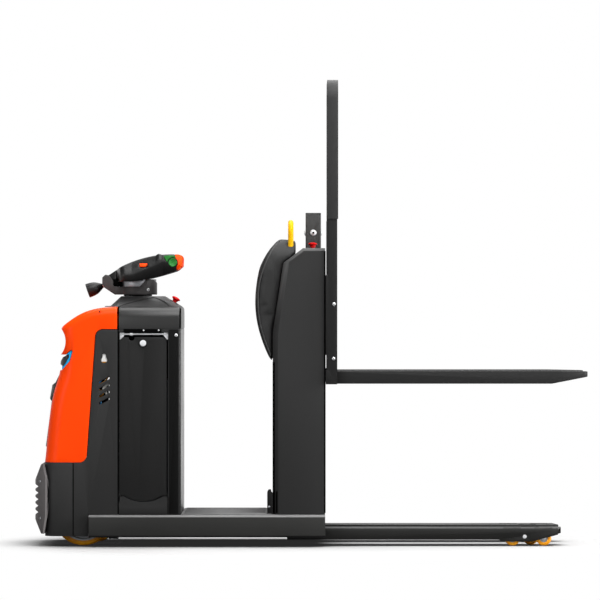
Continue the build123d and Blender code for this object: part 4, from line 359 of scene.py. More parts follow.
def shade_tree():
    tree, start, _ = geometry_tree("shade_by_angle")
    angle = add(tree, "GeometryNodeInputMeshEdgeAngle")
    soft = add(tree, "FunctionNodeCompare", {0: angle.outputs["Unsigned Angle"]}, {1: SMOOTH_ANGLE},
               operation="LESS_EQUAL")
    faces = add(tree, "GeometryNodeSetShadeSmooth", {"Geometry": start.outputs[0]}, domain="FACE")
    edges = add(tree, "GeometryNodeSetShadeSmooth",
                {"Geometry": faces.outputs[0], "Shade Smooth": soft.outputs[0]}, domain="EDGE")
    add(tree, "NodeGroupOutput", {0: edges.outputs[0]})
    return tree


SHADE = shade_tree()


def bevelled(obj, width_mm):
    edge = obj.modifiers.new("edge", "BEVEL")
    edge.width = width_mm * MM
    edge.segments = 2
    edge.limit_method = "ANGLE"
    edge.angle_limit = EDGE_ANGLE
    return edge


def ease(obj, width_mm):
    weld = obj.modifiers.new("weld", "WELD")
    weld.merge_threshold = WELD_M
    if width_mm:
        flat = obj.modifiers.new("flat", "DECIMATE")
        flat.decimate_type = "DISSOLVE"
        flat.angle_limit = radians(0.4)
        edge = bevelled(obj, width_mm)
        edge.use_clamp_overlap = False
        edge.miter_outer = "MITER_ARC"
    grow(obj, "shade", SHADE)


def paint(obj, material):
    obj.data.materials.clear()
    obj.data.materials.append(material)


for name, (material, width_mm) in DRESS.items():
    paint(nodes[name], material)
    ease(nodes[name], width_mm)


# Making pieces

def evaluated_mesh(obj):
    graph = bpy.context.evaluated_depsgraph_get()
    return bpy.data.meshes.new_from_object(obj.evaluated_get(graph))


def bake(obj):
    # the evaluated shape becomes the object's own plain mesh
    mesh = evaluated_mesh(obj)
    obj.modifiers.clear()
    obj.data = mesh


def smooth_faces(mesh):
    for face in mesh.polygons:
        face.use_smooth = True


def from_bmesh(name, bm, *materials):
    bmesh.ops.remove_doubles(bm, verts=bm.verts, dist=1e-6)
    bmesh.ops.recalc_face_normals(bm, faces=bm.faces)
    mesh = bpy.data.meshes.new(name)
    bm.to_mesh(mesh)
    bm.free()
    obj = linked(name, mesh)
    for material in materials:
        mesh.materials.append(material)
    return obj


def settle(obj, body, slot, *stood_for):
    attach(obj, body)
    if stood_for:
        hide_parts(*stood_for)


def facing(place, axis):
    # a frame at place whose Z runs along axis
    turn = Vector((0, 0, 1)).rotation_difference(Vector(axis).normalized())
    return Matrix.Translation(Vector(place) * MM) @ turn.to_matrix().to_4x4()


def revolve(bm, profile, matrix, steps=48, finish=0):
    # profile is (radius, height) in mm, round the frame's Z
    rings = []
    for r, h in profile:
        if r < 1e-6:
            rings.append([bm.verts.new(matrix @ Vector((0, 0, h * MM)))])
            continue
        ring = []
        for i in range(steps):
            a = 2 * pi * i / steps
            ring.append(bm.verts.new(matrix @ Vector((r * cos(a) * MM, r * sin(a) * MM, h * MM))))
        rings.append(ring)
    for low, high in zip(rings, rings[1:]):
        for i in range(steps):
            j = (i + 1) % steps
            if len(low) == 1 and len(high) == 1:
                continue
            if len(low) == 1:
                face = bm.faces.new((low[0], high[i], high[j]))
            elif len(high) == 1:
                face = bm.faces.new((low[i], high[0], low[j]))
            else:
                face = bm.faces.new((low[i], high[i], high[j], low[j]))
            face.material_index = finish
            face.smooth = True


def round_corner(r, h, radius, start, steps=5):
    # points of a quarter round about (r, h), from the start angle in degrees
    turns = [radians(start + 90 * i / steps) for i in range(steps + 1)]
    return [(r + radius * cos(turn), h + radius * sin(turn)) for turn in turns]


def finish_edges(obj, width_mm=0.0):
    if width_mm:
        bevelled(obj, width_mm)
    grow(obj, "shade", SHADE)
    return obj


def rounded_outline(x0, x1, z0, z1, r, steps=4):
    # a rounded rectangle in X and Z, from its lower right corner round
    corners = ((x1 - r, z0 + r, -90), (x1 - r, z1 - r, 0), (x0 + r, z1 - r, 90), (x0 + r, z0 + r, 180))
    return [point for x, z, start in corners for point in round_corner(x, z, r, start, steps)]


def prism(bm, outline, y0, y1, finish=0):
    # an outline in X and Z, in mm, between two Y planes
    front = [bm.verts.new((x * MM, y0 * MM, z * MM)) for x, z in outline]
    back = [bm.verts.new((x * MM, y1 * MM, z * MM)) for x, z in outline]
    faces = [bm.faces.new(front), bm.faces.new(back)]
    for i in range(len(outline)):
        j = (i + 1) % len(outline)
        faces.append(bm.faces.new((front[i], front[j], back[j], back[i])))
    for face in faces:
        face.material_index = finish


def turned(name, profile, place, steps, material, body, slot, *stood_for):
    # a round piece from its profile
    bm = bmesh.new()
    revolve(bm, profile, place, steps)
    settle(finish_edges(from_bmesh(name, bm, material)), body, slot, *stood_for)


# Wheels: amber tyre with rounded shoulders on a dished hub

def wheel(node, tyre_mm, bore_mm, lip_mm):
    low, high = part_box(node)
    middle = (low + high) / 2 / MM
    radius = (high.z - low.z) / 2 / MM
    half = (high.y - low.y) / 2 / MM
    rim = radius - tyre_mm
    shoulder = min(tyre_mm * 0.55, half * 0.3)
    place = facing(middle, (0, -1, 0))
    bm = bmesh.new()
    tread = [(rim, -half)] + round_corner(radius - shoulder, -half + shoulder, shoulder, -90)
    tread += round_corner(radius - shoulder, half - shoulder, shoulder, 0) + [(rim, half), (rim, -half)]
    revolve(bm, tread, place, 72, 0)
    # the hub's side from bore to rim: a boss, a slope into the dish and a slope out to the rim
    dish = rim * 0.12
    slope = lip_mm * 1.4
    boss, edge = half - dish * 0.4, half - 0.6
    side = [(bore_mm, boss), (bore_mm + lip_mm, boss), (bore_mm + slope, half - dish),
            (rim - slope, half - dish), (rim - lip_mm, edge), (rim - 0.4, edge)]
    back = [(r, -h) for r, h in reversed(side)]
    revolve(bm, side + back + [side[0]], place, 72, 1)
    obj = finish_edges(from_bmesh(node + "_turned", bm, amber_pu, hub_alloy))
    settle(obj, node, "amber", node)


for side in ("left", "right"):
    for spot in ("rear", "front", "inner"):
        wheel(f"load_wheel_{side}_{spot}", 16, 10.3, 2)
wheel("drive_wheel", 22, 22.3, 8)
wheel("castor_wheel", 15, 9.3, 5)


# Copies of CAD shapes, melted into soft mouldings

def melted(name, node, voxel_mm, rounds, material):
    obj = linked(name, nodes[node].data.copy())
    bm = bmesh.new()
    bm.from_mesh(obj.data)
    bmesh.ops.remove_doubles(bm, verts=bm.verts, dist=WELD_M)
    bm.to_mesh(obj.data)
    bm.free()
    remesh = obj.modifiers.new("remesh", "REMESH")
    remesh.mode = "VOXEL"
    remesh.voxel_size = voxel_mm * MM
    smooth = obj.modifiers.new("smooth", "SMOOTH")
    smooth.factor = 0.5
    smooth.iterations = rounds
    bake(obj)
    paint(obj, material)
    smooth_faces(obj.data)
    return obj


# Handle: on each horn a ridge climbs to the tip, lit above and dark below, with a nub for the thumb on top

HORN_HALF = 176
HORN_INNER = 120
RIDGE = ((-937, 1245), (-835, 1254), (-741, 1292), (-690, 1316), (-650, 1306), (-600, 1296))
NUB_X = (-724, -698)
NUB_ABOVE = 8
NUB_RISE = 6


def ridge_height(x):
    for (x0, z0), (x1, z1) in zip(RIDGE, RIDGE[1:]):
        if x < x1:
            return z0 + (z1 - z0) * max(0.0, (x - x0) / (x1 - x0))
    return RIDGE[-1][1]


def face_inset(x, z):
    # how far the outer face lies inside the horn's widest line, in mm
    rise = z - ridge_height(x)
    return 0.2 * rise + 0.006 * rise ** 2 if rise > 0 else -0.3 * rise + 0.004 * rise ** 2


def carve(obj):
    for vert in obj.data.vertices:
        x, y, z = vert.co / MM
        share = min(1.0, max(0.0, (abs(y) - HORN_INNER) / (HORN_HALF - HORN_INNER)))
        vert.co.y *= 1 - share * face_inset(x, z) / HORN_HALF
        if NUB_X[0] < x < NUB_X[1] and z > ridge_height(x) + NUB_ABOVE and share > 0:
            swell = sin(pi * (x - NUB_X[0]) / (NUB_X[1] - NUB_X[0]))
            vert.co.z += NUB_RISE * MM * swell * min(1.0, 4 * share)


handle = melted("moulded_handle", "steering_handle", 3.0, 8, grip_black)
carve(handle)
settle(handle, "handle", "black", "steering_handle")
caps = melted("moulded_caps", "grip_caps", 2.5, 4, cap_abs)
carve(caps)
settle(caps, "handle", "orange", "grip_caps")


def side_button(side, sign):
    # orange rocker, wider in front, laid on the sloping face
    outline = [(-799, 1291), (-772, 1291), (-764, 1299), (-764, 1307), (-799, 1306)]
    middle_x, middle_z, lean = -781, 1298, radians(22)
    bm = bmesh.new()
    depth = HORN_HALF - face_inset(middle_x, middle_z)
    prism(bm, outline, sign * (depth + 3.5), sign * (depth - 6))
    pivot = Matrix.Translation((0, sign * depth * MM, middle_z * MM))
    tilt = pivot @ Matrix.Rotation(sign * lean, 4, "X") @ pivot.inverted()
    bmesh.ops.transform(bm, verts=bm.verts, matrix=tilt)
    obj = finish_edges(from_bmesh(f"side_button_{side}", bm, cap_abs), 1.0)
    settle(obj, f"button_{side}", "orange", f"grip_button_{side}")


def thumb_scoop(side, sign):
    # dished disc with a rolled edge and a wing over it, on a pin in the horn
    pin_x, pin_z, crown_r = -645, 1311, 24.8
    bm = bmesh.new()
    place = facing((pin_x, sign * (HORN_HALF + 1), pin_z), (0, sign, 0.1))
    dish = [(0, -8), (5, -8), (17, -6), (19, -3), (19.4, 3), (18.6, 5), (17.4, 5.4), (16, 4.6),
            (12, 2.2), (6, 0.8), (0, 0.4)]
    revolve(bm, dish, place, 48, 0)
    # a black ring round the disc: painted shade where its rim throws a shadow
    ring = [(19.8, -6), (24.6, -6), (24.6, 1), (24, 1.8), (20, 1.2), (19.8, -6)]
    revolve(bm, ring, place, 48, 1)
    crown = [(pin_x + crown_r * cos(radians(a)), pin_z + crown_r * sin(radians(a)))
             for a in range(180, 59, -20)]
    wing = [(-631, 1340), (-645, 1344), (-672, 1344), (-687, 1341)] + crown
    prism(bm, wing, sign * (HORN_HALF + 3), sign * (HORN_HALF - 12), 0)
    obj = finish_edges(from_bmesh(f"thumb_scoop_{side}", bm, green_abs, seal_black), 1.2)
    settle(obj, f"thumb_{side}", "green", f"thumb_control_{side}")


for side, sign in (("left", -1), ("right", 1)):
    side_button(side, sign)
    thumb_scoop(side, sign)


# Back pad, blown up a little as foam under its skin, and held where it meets its board

PAD_BOARD_X = -0.17
PAD_PRESSURE = 4.0
PAD_STEPS = 12
PAD_SWELL = 5 * MM


def back_pad():
    pad = melted("foam_back_pad", "back_pad", 8.0, 6, pad_foam)
    rest = [v.co.copy() for v in pad.data.vertices]
    hold = pad.vertex_groups.new(name="hold")
    grip = [v.index for v in pad.data.vertices if v.co.x > PAD_BOARD_X]
    hold.add(grip, 1.0, "REPLACE")
    cloth = pad.modifiers.new("cloth", "CLOTH")
    cloth.settings.use_pressure = True
    cloth.settings.uniform_pressure_force = PAD_PRESSURE
    cloth.settings.effector_weights.gravity = 0.0
    cloth.settings.vertex_group_mass = "hold"
    cloth.settings.quality = 5
    for step in range(1, PAD_STEPS + 1):
        bpy.context.scene.frame_set(step)
    bake(pad)
    bpy.context.scene.frame_set(1)
    for vert, start in zip(pad.data.vertices, rest):
        move = vert.co - start
        if move.length > PAD_SWELL:
            vert.co = start + move * (PAD_SWELL / move.length)
    smooth_faces(pad.data)
    paint(pad, pad_foam)
    settle(pad, "chassis", "pad", "back_pad")


back_pad()


# Fasteners: domed heads with a hex socket, set on points that carry their facing

# the socket's radius and height as shares of the head's, and the depth of its black floor, painted shade for
# the socket's hollow
SOCKET_WIDE, SOCKET_HIGH, SOCKET_DEEP = 0.36, 0.94, 0.8 * MM


def fastener_tree():
    tree, start, idents = geometry_tree("fasteners", ("Head radius", "Float"), ("Head height", "Float"),
                                        ("Head finish", "Material"))
    radius, height, finish = (start.outputs[label] for label in ("Head radius", "Head height", "Head finish"))
    ball = add(tree, "GeometryNodeMeshUVSphere", None, {"Segments": 20, "Rings": 12, "Radius": 1.0})
    squash = add(tree, "ShaderNodeCombineXYZ", {"X": radius, "Y": radius, "Z": height})
    dome = add(tree, "GeometryNodeTransform", {"Geometry": ball.outputs["Mesh"], "Scale": squash.outputs[0]})
    smooth = add(tree, "GeometryNodeSetShadeSmooth", {"Geometry": dome.outputs[0]})
    plated = add(tree, "GeometryNodeSetMaterial", {"Geometry": smooth.outputs[0], "Material": finish})
    across = add(tree, "ShaderNodeMath", {0: radius}, {1: SOCKET_WIDE}, operation="MULTIPLY")
    lift = add(tree, "ShaderNodeMath", {0: height}, {1: SOCKET_HIGH}, operation="MULTIPLY")
    hexagon = add(tree, "GeometryNodeMeshCylinder", {"Radius": across.outputs[0]},
                  {"Vertices": 6, "Depth": SOCKET_DEEP})
    top = add(tree, "ShaderNodeCombineXYZ", {"Z": lift.outputs[0]})
    raised = add(tree, "GeometryNodeTransform",
                 {"Geometry": hexagon.outputs["Mesh"], "Translation": top.outputs[0]})
    # the socket as a black disc: painted shade in its hollow
    dark = add(tree, "GeometryNodeSetMaterial", {"Geometry": raised.outputs[0]}, {"Material": dark_paint})
    head = add(tree, "GeometryNodeJoinGeometry")
    tree.links.new(plated.outputs[0], head.inputs[0])
    tree.links.new(dark.outputs[0], head.inputs[0])
    way = add(tree, "GeometryNodeInputNamedAttribute", None, {"Name": "facing"}, data_type="FLOAT_VECTOR")
    turn = add(tree, "FunctionNodeAlignRotationToVector", {"Vector": way.outputs["Attribute"]}, axis="Z")
    spread = add(tree, "GeometryNodeInstanceOnPoints", {"Points": start.outputs["Geometry"],
                                                        "Instance": head.outputs[0],
                                                        "Rotation": turn.outputs["Rotation"]})
    real = add(tree, "GeometryNodeRealizeInstances", {"Geometry": spread.outputs[0]})
    add(tree, "NodeGroupOutput", {0: real.outputs[0]})
    return tree, idents


FASTENERS, HEAD_INPUTS = fastener_tree()


def fasteners(name, body, radius_mm, height_mm, spots, material=zinc, slot="zinc", stood_for=()):
    # spots are ((x, y, z) in mm, facing)
    mesh = bpy.data.meshes.new(name)
    mesh.from_pydata([Vector(p) * MM for p, _ in spots], [], [])
    way = mesh.attributes.new("facing", "FLOAT_VECTOR", "POINT")
    for i, (_, axis) in enumerate(spots):
        way.data[i].vector = axis
    obj = linked(name, mesh)
    grow(obj, "heads", FASTENERS, HEAD_INPUTS, (radius_mm * MM, height_mm * MM, material))
    bake(obj)
    settle(obj, body, slot, *stood_for)


NEAR, FAR = (0, -1, 0), (0, 1, 0)


def both_sides(x, y, z):
    return [((x, -y, z), NEAR), ((x, y, z), FAR)]


fasteners("upright_bolts", "carriage", 8, 5, both_sides(103, 330, 1118) + both_sides(101, 330, 867))
fasteners("post_screws", "chassis", 8, 4.5, both_sides(-625, 345, 975))
fasteners("header_screws", "chassis", 3.5, 2.5, [((x, -345.8, 997), NEAR) for x in (-775, -706)])
fasteners("bracket_screw", "chassis", 5, 3, [((-197, -306, 182), NEAR)], steel)
fasteners("bumper_screws", "chassis", 6, 2.5,
          [((-1254, side * 325.3, z), (-0.73, side * 0.68, 0)) for side in (-1, 1) for z in (300, 130)], steel)
fasteners("hood_screws", "chassis", 4, 1.5, both_sides(-978, 344.6, 1084), dark_paint)
fasteners("head_screw", "steering_head", 7.5, 4.5,
          [((-762, side * 74.8, 1185), (0.55, side * 0.83, 0)) for side in (-1, 1)])
fasteners("socket_bolts", "chassis", 15, 6,
          both_sides(8, 36, 1451) + [((-28, 0, 1451), (-1, 0, 0)), ((44, 0, 1451), (1, 0, 0))],
          stood_for=("post_bolts",))


# Small fittings

def post_covers():
    # black strips on the rear posts of the battery box
    bm = bmesh.new()
    for side in (-1, 1):
        prism(bm, rounded_outline(-659, -615, 152, 1001, 2), side * 345, side * 346.4)
    obj = from_bmesh("post_covers", bm, post_black)
    settle(finish_edges(obj, 0.4), "chassis", "black")


def lock_bosses():
    # white lock plate with a brass sill behind each keyhole
    bm = bmesh.new()
    for side in (-1, 1):
        prism(bm, rounded_outline(-980, -934, 838, 900, 12), side * 338.5, side * 330, 0)
        prism(bm, rounded_outline(-973, -941, 845, 853, 3), side * 340.5, side * 338.5, 1)
    obj = from_bmesh("lock_bosses", bm, white_abs, lock_brass)
    settle(finish_edges(obj, 0.6), "chassis", "zinc")


def joint_strips():
    # black rubber in the open joints between hood, skirt, panels and box
    bm = bmesh.new()
    for side in (-1, 1):
        for x0, x1, z0, z1, deep, proud in ((-1000, -890, 985, 1016, 333, 336),
                                            (-1102, -1097, 50, 387, 345, 345.5),
                                            (-895, -889, 150, 1000, 342, 345.4)):
            prism(bm, rounded_outline(x0, x1, z0, z1, 1), side * deep, side * proud)
    for x0, x1, z0, z1 in ((-868, -692, 987, 1002.5), (-664.5, -661, 150, 232)):
        prism(bm, rounded_outline(x0, x1, z0, z1, 1), -345, -345.8)
    settle(finish_edges(from_bmesh("joint_strips", bm, gap_and_shade_black)), "chassis", "black")


def skin(bm, rows):
    # closed skin over rows of vertices, each row a ring
    for row, following in zip(rows, rows[1:]):
        for k in range(len(row)):
            m = (k + 1) % len(row)
            bm.faces.new((row[k], row[m], following[m], following[k]))
    bm.faces.new(rows[0])
    bm.faces.new(rows[-1])


def shade_console_corners():
    # black strip round the console's rear corners, up to its shoulder: painted shade where the rounded corner
    # turns away from the light. The corner is rounded in plan, and the edge over it is rounded upwards
    foot, top, wide, back = 1006, 1105.3, 345, -603
    corner, edge = 12, 54
    profile = [((wide, foot), (1, 0)), ((wide, top - edge), (1, 0))]
    for step in range(1, 7):
        turn = radians(step * 12)
        out = (cos(turn), sin(turn))
        profile.append(((wide - edge + edge * out[0], top - edge + edge * out[1]), out))
    bm = bmesh.new()
    for side in (-1, 1):
        rows = []
        for (y, z), out in profile:
            row = []
            for lift, turns in ((0.7, range(24, 91, 11)), (-1.0, range(90, 23, -11))):
                radius = corner + lift
                for turn in turns:
                    reach = cos(radians(turn)) * radius - corner
                    x = back - corner + sin(radians(turn)) * radius
                    spot = Vector((x, side * (y + out[0] * reach), z + out[1] * reach))
                    row.append(bm.verts.new(spot * MM))
            rows.append(row)
        skin(bm, rows)
    settle(finish_edges(from_bmesh("console_corner_shade", bm, gap_and_shade_black)), "chassis", "black")


def post_prism(bm, outline, z0, z1):
    # an outline in X and Y, in mm, between two heights
    low, high = ([bm.verts.new((x * MM, y * MM, z * MM)) for x, y in outline] for z in (z0, z1))
    bm.faces.new(low)
    bm.faces.new(high)
    for i in range(len(outline)):
        j = (i + 1) % len(outline)
        bm.faces.new((low[i], low[j], high[j], high[i]))


def mast_corner_shade():
    # black strips on the mast's bevelled corners below the pad, painted shade where the rounded corners turn
    # away from the light; a dark joint at their foot, and a black strip behind
    foot = 154
    shaded_corner = ((-180.8, 264), (-180.8, 274.3), (-171, 284.1), (-169.9, 283), (-179, 273.5), (-179.2, 264))
    joint = ((-165, 290.1), (-158, 297.1), (-157, 296), (-164, 289))
    behind = ((57, 300.6), (64.4, 300.6), (64.4, 292), (61.5, 292), (61.5, 299.5), (57, 299.5))
    bm = bmesh.new()
    for side in (-1, 1):
        for outline, top in ((shaded_corner, 850), (joint, 253), (behind, 1364)):
            post_prism(bm, [(x, side * y) for x, y in outline], foot, top)
    settle(finish_edges(from_bmesh("mast_corner_shade", bm, gap_and_shade_black)), "chassis", "black")


def upright_liners():
    # flat liners along the uprights, above and below the carriage plate
    liner = ((70.4, 294), (75.5, 294), (75.5, 329.5), (70.4, 329.5))
    bm = bmesh.new()
    for side in (-1, 1):
        for z0, z1 in ((749, 882), (1253, 1510.5)):
            post_prism(bm, [(x, side * y) for x, y in liner], z0, z1)
    obj = from_bmesh("upright_liners", bm, upright_paint)
    settle(finish_edges(obj, 0.8), "carriage", "frame_grey")


def foot_bracket():
    # folded bracket with a hooked head, standing on its foot
    plate = [(-205.5, 146), (-180, 146), (-180, 246), (-183, 251), (-186.5, 252.5), (-187.5, 262),
             (-191, 264), (-199, 262.5), (-204, 255), (-205.5, 249)]
    foot = [(-205.5, 146), (-180, 146), (-180, 152), (-205.5, 152)]
    bm = bmesh.new()
    prism(bm, plate, -306, -300)
    prism(bm, foot, -300, -266)
    obj = from_bmesh("hooked_bracket", bm, dark_paint)
    settle(finish_edges(obj, 0.8), "chassis", "black", "foot_bracket")


def bumper_highlights():
    # pale strip down each rear edge of the bumper, on its rounded corner: a painted highlight where the corner
    # catches the light
    corner_x, corner_y, radius = -1188, 264, 90
    path = [(-1232, 379), (-1219.6, 318), (-1219.6, 144), (-1232, 60)]
    fine = [(xa + (xb - xa) * share, za + (zb - za) * share)
            for (xa, za), (xb, zb) in zip(path, path[1:]) for share in (0, 0.25, 0.5, 0.75)] + path[-1:]
    bm = bmesh.new()
    for side in (-1, 1):
        rows = []
        for edge, z in fine:
            row = []
            for lift, across in ((0.8, (0, 3, 6, 9)), (-1.0, (9, 6, 3, 0))):
                for back in across:
                    x = edge - back
                    y = corner_y + sqrt((radius + lift) ** 2 - (x - corner_x) ** 2)
                    row.append(bm.verts.new((x * MM, side * y * MM, z * MM)))
            rows.append(row)
        skin(bm, rows)
    settle(finish_edges(from_bmesh("bumper_highlights", bm, bumper_highlight_abs)), "chassis", "cover_grey")


def neck_boot():
    # rubber boot that fills the fork of the arm in front of the drum
    outline = [(-926, 1199.5), (-887, 1199.5), (-887, 1221.5), (-898, 1221.5), (-912, 1230), (-926, 1236)]
    bm = bmesh.new()
    for side in (-1, 1):
        prism(bm, outline, side * 44, side * 60)
    settle(finish_edges(from_bmesh("neck_boot", bm, gap_and_shade_black), 1.5), "steering_head", "black")


def neck_seal():
    # ribbed rubber ring round the foot of the steering head
    ring = [(64.3, 0.6), (67.0, 0.8), (66.2, 2.2), (67.0, 3.6), (66.2, 5.0), (66.8, 6.4), (64.3, 6.6),
            (64.3, 0.6)]
    turned("neck_seal", ring, facing((-812, 0, 1155), (0, 0, 1)), 64, seal_black, "steering_head", "black")


def knob_collar():
    # plated collar on the clamp knob's stud
    tilt = radians(19)
    ring = [(7.2, 9.5), (10.5, 9.5), (11, 10), (11, 14.4), (10.5, 14.9), (7.2, 14.9), (7.2, 9.5)]
    place = facing((-962, 0, 1209), (-cos(tilt), 0, -sin(tilt)))
    turned("knob_collar", ring, place, 32, zinc, "clamp_knob", "zinc")


def rod_collar():
    # plated collar on the rod above the battery door
    low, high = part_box("door_rod")
    ring = [(4.7, -7), (8, -7), (8.6, -6.4), (8.6, 6.4), (8, 7), (4.7, 7), (4.7, -7)]
    place = facing((-832, (low.y + high.y) / 2 / MM, 980), (1, 0, 0))
    turned("rod_collar", ring, place, 28, zinc, "chassis", "zinc")


def latch_ring():
    # rubber ring on the battery door, round the latch knob
    low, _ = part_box("battery_door")
    ring = [(15.5, 0), (20, 0), (20, 1.2), (19, 2.2), (16.5, 2.2), (15.5, 1.4), (15.5, 0)]
    turned("latch_ring", ring, facing((-780, low.y / MM, 938), NEAR), 40, seal_black, "battery_door", "black")


def stop_cap(node, neck_mm, place, axis):
    # mushroom head: waisted neck, thin rolled rim, low dome
    rim = [(13.4, -4), (16, -1.6), (19.4, -0.2), (20.2, 0.8), (20.4, 2.2), (20, 4), (18.8, 6), (15, 8.4),
           (8, 10.2), (0, 10.8)]
    profile = [(10.8, -1), (10.8, 6.6), (13.8, 6.9)] + [(r, neck_mm + h) for r, h in rim]
    turned(node + "_mushroom", profile, facing(place, axis), 48, red_abs, node, "red", node)


post_covers()
lock_bosses()
joint_strips()
shade_console_corners()
mast_corner_shade()
upright_liners()
foot_bracket()
bumper_highlights()
neck_boot()
neck_seal()
knob_collar()
rod_collar()
latch_ring()
stop_cap("console_stop", 14, (-638, -150, 1128.5), (sin(radians(29)), 0, cos(radians(29))))
stop_cap("mast_stop", 18, (5, -95, 1377), (0, 0, 1))


# Platform mat ribs

RIB_PITCH, RIB_WIDE, RIB_HIGH = 14 * MM, 4 * MM, 2 * MM
# how far the row of ribs stops short of the mat, and its shift away from the mast
MAT_BORDER_X, MAT_BORDER_Y, RIB_SHIFT = 44 * MM, 20 * MM, 10 * MM


def rib_tree():
    sizes = [(label, "Float") for label in ("Rib length", "Rib width", "Rib height", "Pitch")]
    tree, start, idents = geometry_tree("mat_ribs", *sizes, ("Ribs", "Int"))
    step = add(tree, "ShaderNodeCombineXYZ", {"Y": start.outputs["Pitch"]})
    row = add(tree, "GeometryNodeMeshLine", {"Count": start.outputs["Ribs"], "Offset": step.outputs[0]})
    bar = add(tree, "GeometryNodeMeshCylinder", {"Depth": start.outputs["Rib length"]},
              {"Vertices": 10, "Radius": 1.0})
    laid = add(tree, "GeometryNodeTransform", {"Geometry": bar.outputs["Mesh"]}, {"Rotation": (0, pi / 2, 0)})
    size = add(tree, "ShaderNodeCombineXYZ",
               {"Y": start.outputs["Rib width"], "Z": start.outputs["Rib height"]}, {"X": 1.0})
    flat = add(tree, "GeometryNodeTransform", {"Geometry": laid.outputs[0], "Scale": size.outputs[0]})
    spread = add(tree, "GeometryNodeInstanceOnPoints",
                 {"Points": row.outputs[0], "Instance": flat.outputs[0]})
    real = add(tree, "GeometryNodeRealizeInstances", {"Geometry": spread.outputs[0]})
    soft = add(tree, "GeometryNodeSetShadeSmooth", {"Geometry": real.outputs[0]})
    done = add(tree, "GeometryNodeSetMaterial", {"Geometry": soft.outputs[0]}, {"Material": mat_rubber})
    add(tree, "NodeGroupOutput", {0: done.outputs[0]})
    return tree, idents


def mat_ribs():
    tree, idents = rib_tree()
    low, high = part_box("platform_mat")
    count = int((high.y - low.y - MAT_BORDER_Y) / RIB_PITCH)
    obj = linked("mat_ribs", bpy.data.meshes.new("mat_ribs"))
    length = (high.x - low.x) - MAT_BORDER_X
    grow(obj, "ribs", tree, idents, (length, RIB_WIDE, RIB_HIGH, RIB_PITCH, count))
    bake(obj)
    start = Vector(((low.x + high.x) / 2 - RIB_SHIFT, -(count - 1) * RIB_PITCH / 2, high.z))
    obj.data.transform(Matrix.Translation(start))
    settle(obj, "chassis", "rubber")


mat_ribs()


# Lift chain: leaf plates along each run, three and two by turns

CHAIN_PITCH, PLATE_DEPTH, CHAIN_WIDTH = 12.7, 9.5, 21


def chain_tree():
    tree, start, idents = geometry_tree("leaf_chain", ("Pitch", "Float"), ("Plate depth", "Float"),
                                        ("Chain width", "Float"))
    pitch, deep, wide = (start.outputs[label] for label in ("Pitch", "Plate depth", "Chain width"))
    marks = add(tree, "GeometryNodeResampleCurve", {"Curve": start.outputs["Geometry"], "Length": pitch},
                mode="LENGTH")
    length = add(tree, "ShaderNodeMath", {0: pitch, 1: deep}, operation="ADD")
    outline = add(tree, "GeometryNodeCurvePrimitiveQuadrilateral", {"Width": length.outputs[0], "Height": deep})
    curl = add(tree, "ShaderNodeMath", {0: deep}, {1: 0.49}, operation="MULTIPLY")
    rounded = add(tree, "GeometryNodeFilletCurve", {"Curve": outline.outputs[0], "Radius": curl.outputs[0]},
                  {"Count": 3}, mode="POLY")
    plate = add(tree, "GeometryNodeFillCurve", {"Curve": rounded.outputs[0]}, mode="NGONS")
    upright = add(tree, "GeometryNodeTransform", {"Geometry": plate.outputs[0]}, {"Rotation": (pi / 2, 0, 0)})
    thick = add(tree, "ShaderNodeMath", {0: wide}, {1: 0.15}, operation="MULTIPLY")
    slab = add(tree, "GeometryNodeExtrudeMesh", {"Mesh": upright.outputs[0], "Offset Scale": thick.outputs[0]})
    under = add(tree, "GeometryNodeFlipFaces", {"Mesh": upright.outputs[0]})
    closed = add(tree, "GeometryNodeJoinGeometry")
    tree.links.new(slab.outputs["Mesh"], closed.inputs[0])
    tree.links.new(under.outputs[0], closed.inputs[0])
    whole = add(tree, "GeometryNodeMergeByDistance", {"Geometry": closed.outputs[0]}, {"Distance": 1e-6})
    lines = []
    for count, share in ((3, 0.42), (2, 0.21)):
        half = add(tree, "ShaderNodeMath", {0: wide}, {1: -share}, operation="MULTIPLY")
        edge = add(tree, "ShaderNodeCombineXYZ", {"Y": half.outputs[0]})
        step = add(tree, "ShaderNodeMath", {0: wide}, {1: 2 * share / (count - 1)}, operation="MULTIPLY")
        gap = add(tree, "ShaderNodeCombineXYZ", {"Y": step.outputs[0]})
        row = add(tree, "GeometryNodeMeshLine", {"Start Location": edge.outputs[0], "Offset": gap.outputs[0]},
                  {"Count": count})
        lines.append(add(tree, "GeometryNodeInstanceOnPoints",
                         {"Points": row.outputs[0], "Instance": whole.outputs[0]}))
    along = add(tree, "GeometryNodeInputTangent")
    turn = add(tree, "FunctionNodeAlignRotationToVector", {"Vector": along.outputs[0]}, axis="X",
               pivot_axis="Y")
    place = add(tree, "GeometryNodeInputIndex")
    parity = add(tree, "ShaderNodeMath", {0: place.outputs[0]}, {1: 2.0}, operation="MODULO")
    odd = add(tree, "FunctionNodeCompare", {0: parity.outputs[0]}, {1: 0.5}, operation="GREATER_THAN")
    even = add(tree, "FunctionNodeCompare", {0: parity.outputs[0]}, {1: 0.5}, operation="LESS_EQUAL")
    sets = add(tree, "GeometryNodeJoinGeometry")
    for row, pick in zip(lines, (odd, even)):
        links = add(tree, "GeometryNodeInstanceOnPoints",
                    {"Points": marks.outputs[0], "Selection": pick.outputs[0], "Instance": row.outputs[0],
                     "Rotation": turn.outputs["Rotation"]})
        tree.links.new(links.outputs[0], sets.inputs[0])
    real = add(tree, "GeometryNodeRealizeInstances", {"Geometry": sets.outputs[0]})
    done = add(tree, "GeometryNodeSetMaterial", {"Geometry": real.outputs[0]}, {"Material": chain_steel})
    add(tree, "NodeGroupOutput", {0: done.outputs[0]})
    return tree, idents


CHAIN, CHAIN_INPUTS = chain_tree()


